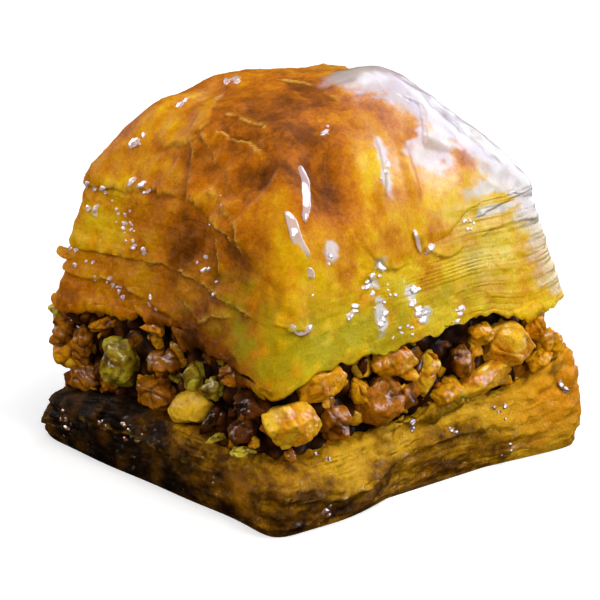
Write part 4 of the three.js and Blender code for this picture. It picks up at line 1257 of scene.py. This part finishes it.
def nut_pieces(materials):
    random = random_from(11)
    drawn = drawn_nuts(random)
    chooser = np.random.default_rng(23)
    parts = {kind: [] for kind in KINDS}

    def chosen(weights):
        return KINDS[chooser.choice(len(KINDS), p=weights)]

    nuts = []
    for side, along, level, long, tall, tilt, kind in LARGE_NUTS:
        detail = 6 if long * tall > LARGE_FROM else 5
        nuts.append(((side, along, level, LARGE_DEPTH, long, tall, tilt), kind, detail))
    nuts += [(nut, chosen(RING_MIX), 4) for nut in drawn]
    nuts += [(tuple(nut), kind, 5) for *nut, kind in MORE_NUTS]
    for seed, (nut, kind, detail) in enumerate(nuts):
        corners = nut_corners(nut, random)
        x, y, _ = corners.mean(0)
        if seed >= len(LARGE_NUTS) and x > CORNER_CLEAR and y < -CORNER_CLEAR:
            continue
        parts[kind].append(nut_surface(corners, detail, seed, kind))
    for n in range(HIDDEN_BITS):
        along = ((n // 2 + 0.5) / (HIDDEN_BITS / 2) - 0.5) * HIDDEN_SPAN + chooser.uniform(-1, 1)
        side = ("north", "west")[n % 2]
        spot = between(side, along, chooser.uniform(1.2, 2.4), 1.2, 1.6, chooser.uniform(0, 1))
        corners = spot + chooser.normal(size=(11, 3)) * chooser.uniform(0.7, 1.3) * (1.0, 1.0, 0.7)
        parts[chosen(RING_MIX)].append(nut_surface(corners, 4, 700 + n, "amber"))
    # Crumbs in the gaps and on the bottom stack's edge.
    for n in range(CRUMBS):
        side = ("east", "south", "north", "west")[n % 4]
        along = chooser.uniform(-CRUMB_SPAN, CRUMB_SPAN) * LENGTHS[side]
        spot = between(side, along, chooser.uniform(1.8, 3.6), 0.3, 0.8, chooser.uniform(0, 1) ** 1.3)
        size = chooser.uniform(0.35, 1.0) ** 1.5 * 1.5
        corners = spot + chooser.normal(size=(9, 3)) * size * 0.7
        kind = chosen(CRUMB_MIX)
        parts[kind].append(nut_surface(corners, 3, 300 + n, kind))
    for kind, pieces in parts.items():
        points, faces = joined([(p, f) for p, f, *_ in pieces])
        values = np.concatenate([np.stack(fields) for _, _, *fields in pieces], axis=1)
        fields = dict(zip(("cut", "furrow", "tone_and_painted_light", "deep"), values))
        add_piece(f"nuts_{kind}", points, faces, materials[kind], FILLING, fields)


def nut_core(material):
    """The mass of small bits and syrup behind the nuts that show, painted near-black as the shade in the gaps
    between them.
    """
    u = np.arange(CORE_AROUND) / CORE_AROUND
    inset = CORE_DEPTH - CORE_OUT
    x, y = outline(u, inset)
    low, high = over_level(x, y), under_level(x, y)
    rings = flat_rings(u, inset, (0.5, 0.9), over_level)
    rings += [np.stack([x, y, mix(low, high, k / (CORE_RINGS - 1))], -1) for k in range(CORE_RINGS)]
    rings += flat_rings(u, inset, (0.9, 0.5), under_level)
    points, faces, normal = closed(rings, over_level(0.0, 0.0), under_level(0.0, 0.0))
    bits = lumps(points / LUMP_PITCH, 7)
    points += normal * (1.3 * np.clip(0.75 - bits, -0.2, 1) + 0.15 * fbm(points * 0.9, 121, 2))[:, None]
    add_piece("core_in_painted_shade", points, faces, material, FILLING, {"lump": np.clip(1 - bits, 0, 1)})


# ---- loose leaves that curl out or hang down ----
# Rows: side, along, level, depth in from the side, length, reach, start and end angle, thick, how ragged.
TOP_FLAKES = (
    ("south", -18.2, 16, 1.8, 3.2, 2, -20, -105, 0.5, 0.2),
    ("south", -17.6, 21.6, 2.4, 3.4, 1.6, -16, -34, 0.16, 0.3),
    ("south", -15.4, 17.4, 2, 2.6, 2.2, -50, -95, 0.3, 0.3),
    ("south", -12.6, 17.6, 2.2, 3, 2.8, -55, -95, 0.3, 0.3),
    ("south", -8, 18, 1.7, 6.5, 1.7, -30, -80, 0.15, 0.9),
    ("south", -2, 18.8, 1.7, 7, 1.6, -35, -85, 0.15, 0.9),
    ("south", 13.6, 15.6, 1.4, 9, 2, -75, -97, 0.18, 1),
    ("south", 5.5, 18, 1.7, 8.5, 2.4, -65, -97, 0.18, 1),
    ("east", 15.5, 17.2, 1.2, 6, 1.8, -40, -70, 0.12, 0.9),
    ("east", 6.5, 18.4, 1.4, 5, 1.2, -50, -85, 0.12, 0.9),
    ("north", -8, 17, 1.2, 8, 2, -35, -75, 0.15, 0.9),
    ("north", 9, 17.6, 1.2, 7, 1.8, -35, -75, 0.15, 0.9),
    ("west", 6, 17.6, 1.2, 8, 2, -35, -75, 0.15, 0.9),
    ("west", -10, 17.4, 1.2, 6, 2, -35, -75, 0.15, 0.9),
)
BOTTOM_FLAKES = (
    ("east", -16.5, 5.2, 0.1, 10, 2.4, -62, -92, 0.4, 0.9),
    ("east", -5, 4.6, 1.5, 9, 1.5, -60, -90, 0.3, 0.9),
    ("south", 6, 4.6, 0.2, 9, 1.8, -60, -92, 0.35, 0.9),
)
FLAKE_ACROSS = 64
FLAKE_OUTWARD = 14


def flake(row, seed):
    """A thin ragged sheet that leaves the side at `level` and bends down as it goes."""
    side, along, level, depth, length, reach, start, end, thick, ragged_by = row
    shares = np.linspace(-0.5, 0.5, FLAKE_ACROSS), np.linspace(0, 1, FLAKE_OUTWARD)
    a, b = (share.ravel() for share in np.meshgrid(*shares, indexing="ij"))
    key = np.stack([a * length * 0.45, 0 * a, 0 * a], -1) + (seed * 9.1, 3.3, 1.7)
    ragged = np.clip(0.85 + ragged_by * (0.4 * fbm(key, 131, 4) + 0.16 * noise(key * 5, 132)), 0.25, 1.3)
    ragged *= np.sqrt(np.clip(1 - (2 * np.abs(a)) ** 2.6, 0, 1)) * 0.85 + 0.15
    run = b * reach * ragged
    turn = np.radians(mix(start, end, b))
    s = along + a * length
    wave = 0.25 * fbm(np.stack([s * 0.3, b * 0.8, 0 * s], -1) + (0, 0, seed * 4.1), 133, 2)
    x, y = place(side, s, depth - run * np.cos(turn) - wave)
    middle = np.stack([x, y, level + run * np.sin(turn)], -1)
    grid = middle.reshape(FLAKE_ACROSS, FLAKE_OUTWARD, 3)
    normal = np.cross(np.gradient(grid, axis=0), np.gradient(grid, axis=1)).reshape(-1, 3)
    normal /= np.maximum(np.linalg.norm(normal, axis=1), 1e-9)[:, None]
    crumpled = 1 + 0.4 * fbm(middle * 0.9, 134, 2)
    half = (thick / 2 * crumpled * np.sqrt(np.clip(1 - b**4, 0.05, 1)))[:, None]
    middle = middle + normal * (0.12 * fbm(middle * 0.8, 135, 3))[:, None]
    numbers = np.arange(len(a)).reshape(FLAKE_ACROSS, FLAKE_OUTWARD)
    rim = border(numbers.T)
    under = rim + len(a)
    faces = grid_faces(numbers) + grid_faces(numbers.T + len(a))
    faces += np.stack([rim, under, np.roll(under, -1), np.roll(rim, -1)], -1).tolist()
    return np.concatenate([middle + normal * half, middle - normal * half]), faces


def flakes(name, rows, material, stands_for, fields):
    points, faces = joined([flake(row, seed) for seed, row in enumerate(rows)])
    add_piece(name, points, faces, material, stands_for, fields(points))


# ---- materials ----
BLACK = (0, 0, 0, 1)
WHITE = (1, 1, 1, 1)


def srgb(*screen):
    """A colour given as 0 to 255 screen values, as the linear one that a shader takes."""
    shares = (c / 255 for c in screen)
    return tuple(c / 12.92 if c <= 0.04045 else ((c + 0.055) / 1.055) ** 2.4 for c in shares) + (1,)


class Finish:
    """A material's node tree, with a short call for each kind of node."""

    def __init__(self, name):
        self.material = bpy.data.materials.new(name)
        self.material.use_nodes = True
        self.nodes = self.material.node_tree.nodes
        self.links = self.material.node_tree.links
        self.shader = self.nodes["Principled BSDF"]
        self.where = self.nodes.new("ShaderNodeTexCoord").outputs["Object"]

    def put(self, socket, value):
        if isinstance(value, bpy.types.NodeSocket):
            self.links.new(value, socket)
        else:
            socket.default_value = value

    def set(self, **values):
        for name, value in values.items():
            self.put(self.shader.inputs[name.replace("_", " ")], value)
        return self.material

    def field(self, name):
        node = self.nodes.new("ShaderNodeAttribute")
        node.attribute_name = name
        return node.outputs["Fac"]

    def noise(self, per_mm, detail=3.0, roughness=0.55, stretch=(1, 1, 1)):
        spread = self.nodes.new("ShaderNodeMapping")
        spread.inputs["Scale"].default_value = [per_mm / MM * k for k in stretch]
        self.put(spread.inputs["Vector"], self.where)
        node = self.nodes.new("ShaderNodeTexNoise")
        node.inputs["Scale"].default_value = 1.0
        node.inputs["Detail"].default_value = detail
        node.inputs["Roughness"].default_value = roughness
        self.put(node.inputs["Vector"], spread.outputs["Vector"])
        return node.outputs["Fac"]

    def math(self, operation, *values):
        node = self.nodes.new("ShaderNodeMath")
        node.operation = operation
        for socket, value in zip(node.inputs, values):
            self.put(socket, value)
        return node.outputs["Value"]

    def times(self, a, b):
        return self.math("MULTIPLY", a, b)

    def line(self, a, slope, start):
        return self.math("MULTIPLY_ADD", a, slope, start)

    def ramp(self, factor, *stops):
        node = self.nodes.new("ShaderNodeValToRGB")
        marks = node.color_ramp.elements
        while len(marks) < len(stops):
            marks.new(0.5)
        for mark, (position, color) in zip(marks, stops):
            mark.position = position
            mark.color = color
        self.put(node.inputs["Fac"], factor)
        return node.outputs["Color"]

    def blend(self, factor, a, b, kind="MIX"):
        node = self.nodes.new("ShaderNodeMix")
        node.data_type = "RGBA"
        node.blend_type = kind
        for number, value in ((0, factor), (6, a), (7, b)):
            self.put(node.inputs[number], value)
        return node.outputs[2]

    def tint(self, color, field, amount, other):
        """A colour turned towards another one, by as much as a field says."""
        return self.blend(self.times(self.field(field), amount), color, other)

    def bump(self, height, distance_mm, under=None):
        node = self.nodes.new("ShaderNodeBump")
        node.inputs["Strength"].default_value = 1.0
        node.inputs["Distance"].default_value = distance_mm * MM
        self.put(node.inputs["Height"], height)
        if under is not None:
            self.put(node.inputs["Normal"], under)
        return node.outputs["Normal"]


TOAST_COLOURS = (
    (0.0, srgb(246, 220, 74)),
    (0.18, srgb(240, 198, 18)),
    (0.38, srgb(226, 156, 6)),
    (0.58, srgb(194, 111, 3)),
    (0.78, srgb(138, 74, 3)),
    (1.0, srgb(74, 37, 2)),
)
SOAK_COLOURS = (
    (0.05, srgb(226, 174, 34)),
    (0.3, srgb(172, 122, 10)),
    (0.55, srgb(100, 62, 5)),
    (0.8, srgb(42, 22, 3)),
    (1.0, srgb(16, 8, 2)),
)
# near-black: painted shade in the gaps between the nuts
CORE_PAINTED_SHADE_COLOURS = ((0.35, srgb(14, 6, 2)), (0.65, srgb(50, 22, 4)), (0.95, srgb(104, 56, 10)))
# A nut's light, middle and deep colour.
NUT_COLOURS = {
    "pale": (srgb(255, 200, 44), srgb(236, 152, 16), srgb(130, 60, 5)),
    "amber": (srgb(240, 168, 14), srgb(200, 116, 6), srgb(102, 52, 4)),
    "brown": (srgb(186, 114, 14), srgb(122, 64, 6), srgb(40, 17, 3)),
    "dark": (srgb(110, 56, 10), srgb(60, 27, 4), srgb(20, 8, 2)),
    "green": (srgb(220, 200, 56), srgb(158, 128, 16), srgb(76, 46, 5)),
}
# Overlays round a middle grey: the leaves' own tones, and a fine grain.
LEAF_TONES = ((0.3, (0.38, 0.36, 0.3, 1)), (0.7, (0.66, 0.66, 0.7, 1)))
GRAIN_TONES = ((0.3, (0.40, 0.38, 0.34, 1)), (0.7, (0.60, 0.61, 0.60, 1)))


def glazed_pastry(name, wet):
    """Baked leaves under a soft syrup sheen; or, with wet set, the clear beads and runs of syrup, painted
    pale as a painted highlight.
    """
    f = Finish(name)
    mottle = f.noise(0.45, 5, 0.62)
    fine = f.noise(2.4, 4, 0.7)
    toast = f.line(mottle, 0.44, f.field("toast"))
    color = f.ramp(f.line(fine, 0.36, f.math("SUBTRACT", toast, 0.40)), *TOAST_COLOURS)
    color = f.tint(color, "lime", 0.7, srgb(156, 154, 10))
    color = f.blend(0.7, color, f.ramp(f.line(f.field("tone"), 0.06, 0.5), *LEAF_TONES), "OVERLAY")
    color = f.blend(0.9, color, f.ramp(f.noise(5.0, 3, 0.7), *GRAIN_TONES), "OVERLAY")
    # painted shade in the grooves between the leaves, at the foot of torn edges and hems, and on the
    # underside
    color = f.tint(color, "groove", 0.55, srgb(104, 54, 4))
    color = f.tint(color, "tear", 0.7, srgb(236, 190, 84))
    # painted sheen: a lavender-white highlight painted into the wet band and places
    color = f.tint(color, "sunk", 0.68, srgb(172, 178, 204))
    if wet:
        # painted highlight: the beads and runs are painted a pale lavender-white
        color = f.blend(0.7, color, srgb(228, 208, 214))
    crinkle = f.bump(f.times(f.noise(0.8, 3, 0.5), f.field("rough")), 0.08)
    crinkle = f.bump(f.times(f.noise(2.6, 3, 0.6), f.field("rough")), 0.05, crinkle)
    if not wet:
        f.set(Coat_Normal=crinkle)
    return f.set(
        Base_Color=color,
        Roughness=0.5,
        Subsurface_Weight=0.12,
        Subsurface_Radius=(1.0, 0.55, 0.1),
        Subsurface_Scale=0.0006,
        Specular_IOR_Level=0.02,
        Coat_Weight=1.0 if wet else f.field("gloss"),
        Coat_Roughness=0.07 if wet else 0.34,
        Coat_IOR=1.75,
        Normal=f.bump(f.noise(4.0, 3, 0.7), 0.05, crinkle),
    )


def soaked_pastry():
    f = Finish("soaked_pastry")
    streaks = f.noise(0.7, 5, 0.65, (1, 1, 1.4))
    fine = f.noise(2.6, 4, 0.7)
    soak = f.line(fine, 0.40, f.line(streaks, 0.65, f.math("SUBTRACT", f.field("soak"), 0.525)))
    color = f.blend(f.field("orange"), f.ramp(soak, *SOAK_COLOURS), srgb(238, 152, 16))
    # painted shade in the grooves, under torn edges, in the pits and on the underside
    color = f.tint(color, "groove", 0.6, srgb(40, 20, 3))
    color = f.tint(color, "tear", 0.45, srgb(196, 150, 50))
    wet = f.bump(f.noise(4.0, 3, 0.65), 0.10, f.bump(f.noise(1.3, 4, 0.7), 0.34))
    return f.set(
        Base_Color=color,
        Roughness=0.45,
        Subsurface_Weight=0.12,
        Subsurface_Radius=(1.0, 0.5, 0.1),
        Subsurface_Scale=0.0008,
        Specular_IOR_Level=0.02,
        Coat_Weight=f.field("gloss"),
        Coat_Roughness=0.09,
        Coat_IOR=1.6,
        Normal=wet,
        Coat_Normal=wet,
    )


def syrup():
    """Clear dark syrup."""
    f = Finish("syrup")
    return f.set(
        Base_Color=srgb(120, 70, 14),
        Roughness=0.4,
        Coat_Weight=1.0,
        Coat_Roughness=0.06,
        Coat_IOR=1.75,
    )


def nut_material(kind):
    light, middle, deep = NUT_COLOURS[kind]
    f = Finish(f"nut_{kind}")
    tone = f.line(f.noise(0.8, 5, 0.65), 1.1, f.line(f.field("cut"), 0.6, -0.35))
    # the nut's tone, with painted shade on the -Y side and painted light on the jutting wedge
    color = f.ramp(f.line(f.field("tone_and_painted_light"), 0.18, tone), (0, deep), (0.22, middle), (0.62, light))
    specks = f.ramp(f.noise(2.6, 3), (0.54, BLACK), (0.70, WHITE))
    color = f.blend(f.times(specks, 0.45), color, deep)
    # painted shade in the furrows and pits
    color = f.tint(color, "furrow", 0.85, deep)
    # painted shade: darker the farther in from the sides
    color = f.tint(color, "deep", 0.85, srgb(26, 12, 3))
    grain = f.bump(f.noise(4.0, 3, 0.6), 0.05, f.bump(f.noise(1.4, 4, 0.6), 0.16))
    return f.set(
        Base_Color=color,
        Roughness=0.5,
        Specular_IOR_Level=0.03,
        Subsurface_Weight=0.15,
        Subsurface_Radius=(1.0, 0.55, 0.15),
        Subsurface_Scale=0.0008,
        Coat_Weight=f.ramp(f.noise(0.7, 3, 0.6), (0.48, BLACK), (0.60, WHITE)),
        Coat_Roughness=0.06,
        Coat_IOR=1.6,
        Normal=grain,
        Coat_Normal=grain,
    )


def core_material():
    f = Finish("core_in_painted_shade")
    # darker between the bits, as painted shade
    lump = f.line(f.noise(0.6, 4), 0.5, f.math("SUBTRACT", f.field("lump"), 0.25))
    return f.set(
        Base_Color=f.ramp(lump, *CORE_PAINTED_SHADE_COLOURS),
        Roughness=0.5,
        Specular_IOR_Level=0.03,
        Coat_Weight=0.06,
        Coat_Roughness=0.2,
        Normal=f.bump(f.noise(1.0, 4), 0.3),
    )


# ---- studio ----
AIM = Vector((0, 0, 20)) * MM  # the point that the view was solved round
AZIMUTH = math.radians(49.6)
ELEVATION = math.radians(18.3)
CAMERA_DISTANCE = 0.400
VIEW_SHARE = 9.214 * 400.0 / 600  # focal length over the image's width
SENSOR_MM = 36.0
PICTURE_SHIFT = (1.0, 3.66)  # how far left of and below the aim the picture's middle is, in mm
RIGHT = Vector((math.cos(AZIMUTH), math.sin(AZIMUTH), 0))
AHEAD = Vector((math.sin(AZIMUTH), -math.cos(AZIMUTH), 0))
BACK = AHEAD * math.cos(ELEVATION) + Vector((0, 0, math.sin(ELEVATION)))
UP = BACK.cross(RIGHT)


def look_along(direction):
    return direction.to_track_quat("-Z", "Y").to_euler()


def studio_camera():
    data = bpy.data.cameras.new("camera")
    data.sensor_width = SENSOR_MM
    data.lens = VIEW_SHARE * SENSOR_MM
    camera = added("camera", data)
    camera.location = AIM + BACK * CAMERA_DISTANCE
    centre = AIM - (RIGHT * PICTURE_SHIFT[0] + UP * PICTURE_SHIFT[1]) * MM
    camera.rotation_euler = look_along(centre - camera.location)
    bpy.context.scene.camera = camera


def softbox(name, direction, distance, size, power, color):
    """A rectangular light that faces the object: a window lights the gloss alone, and a fill all the rest."""
    data = bpy.data.lights.new(name, "AREA")
    data.shape = "RECTANGLE"
    data.size, data.size_y = size
    data.energy = power
    data.color = color
    light = added(name, data)
    away = Vector(direction).normalized()
    light.location = AIM + away * distance
    light.rotation_euler = look_along(-away)
    light.visible_camera = False
    light.visible_glossy = name.startswith("window")
    light.visible_diffuse = name.startswith("fill")


def studio_floor():
    """A pale floor that sweeps up behind the object."""
    f = Finish("floor")
    tint = f.ramp(f.noise(0.002, 2), (0.3, (0.80, 0.80, 0.81, 1)), (0.7, (0.84, 0.84, 0.85, 1)))
    f.set(Base_Color=tint, Roughness=0.85, Emission_Color=(0.97, 0.98, 1.0, 1), Emission_Strength=0.45)
    half, behind, radius, wall, steps = 1.6, 0.7, 0.5, 1.2, 14
    turns = [math.pi / 2 * k / steps for k in range(1, steps + 1)]
    profile = [(half, 0.0), (-behind, 0.0)]
    profile += [(-behind - radius * math.sin(turn), radius * (1 - math.cos(turn))) for turn in turns]
    profile.append((-behind - radius, radius + wall))
    points = []
    for along, high in profile:
        for side in (-half, half):
            spot = AHEAD * along + RIGHT * side
            points.append((spot.x, spot.y, high))
    faces = [(a, a + 1, a + 3, a + 2) for a in range(0, len(points) - 2, 2)]
    floor = add_mesh("studio_floor", points, faces, f.material)
    # The object's gloss and shade come from the lights alone, as over a dark table.
    floor.visible_glossy = False
    floor.visible_diffuse = False


ROSY, WARM, SKY = (1.0, 0.92, 0.94), (1.0, 0.98, 0.93), (0.68, 0.77, 1.0)
# Rows: name, direction from the object, distance, width and height, power, colour.
LIGHTS = (
    ("window_back", (0.08, 0.94, 0.32), 0.6, (0.62, 0.5), 7.0, SKY),
    ("window_top", (-0.23, 0.45, 0.87), 0.5, (0.28, 0.24), 2.0, SKY),
    ("window_high_right", (0.49, 0.45, 0.74), 0.5, (0.20, 0.28), 2.4, SKY),
    ("window_right", (0.76, 0.64, 0.12), 0.5, (0.18, 0.16), 1.3, (0.85, 0.86, 1.0)),
    ("window_above", (0.05, -0.18, 0.98), 0.5, (0.26, 0.22), 2.8, ROSY),
    ("window_left", (-0.9, -0.12, 0.38), 0.5, (0.14, 0.20), 1.3, ROSY),
    ("window_facing", (0.61, -0.51, 0.61), 0.5, (0.13, 0.12), 1.0, ROSY),
    ("window_low_right", (0.66, -0.60, 0.46), 0.5, (0.05, 0.05), 0.45, ROSY),
    ("window_low_left", (-0.72, -0.62, 0.24), 0.5, (0.07, 0.08), 0.7, (1.0, 0.88, 0.76)),
    ("fill_back", (-0.1, 0.8, 0.6), 0.6, (0.6, 0.4), 1.0, WARM),
    ("fill_high_right", (0.55, 0.2, 0.8), 0.5, (0.25, 0.25), 1.45, WARM),
    ("fill_right", (0.85, -0.3, 0.35), 0.6, (0.4, 0.4), 1.75, WARM),
    ("fill_front_left", (-0.3, -0.88, 0.45), 0.6, (0.5, 0.5), 1.8, WARM),
    ("fill_left", (-0.9, -0.1, 0.4), 0.6, (0.3, 0.3), 0.6, WARM),
)


def studio_lights():
    world = bpy.data.worlds.new("studio")
    world.use_nodes = True
    background = world.node_tree.nodes["Background"]
    background.inputs["Color"].default_value = (0.93, 0.95, 1.0, 1)
    background.inputs["Strength"].default_value = 0.035
    bpy.context.scene.world = world
    for row in LIGHTS:
        softbox(*row)


studio_camera()
studio_floor()
studio_lights()
glazed = glazed_pastry("glazed_pastry", wet=False)
soaked = soaked_pastry()
sheets = [top_leaves(glazed), crown_sheet(glazed)]
syrup_beads(glazed_pastry("beads_with_painted_highlight", wet=True), sheets)
syrup_drops(syrup(), *bottom_stack(soaked))
nut_core(core_material())
nut_pieces({kind: nut_material(kind) for kind in KINDS})
flakes("top_flakes", TOP_FLAKES, glazed, TOP, top_fields)
flakes("bottom_flakes", BOTTOM_FLAKES, soaked, BOTTOM, bottom_fields)
bpy.context.scene.view_settings.view_transform = "Standard"
bpy.context.scene.view_settings.look = "None"
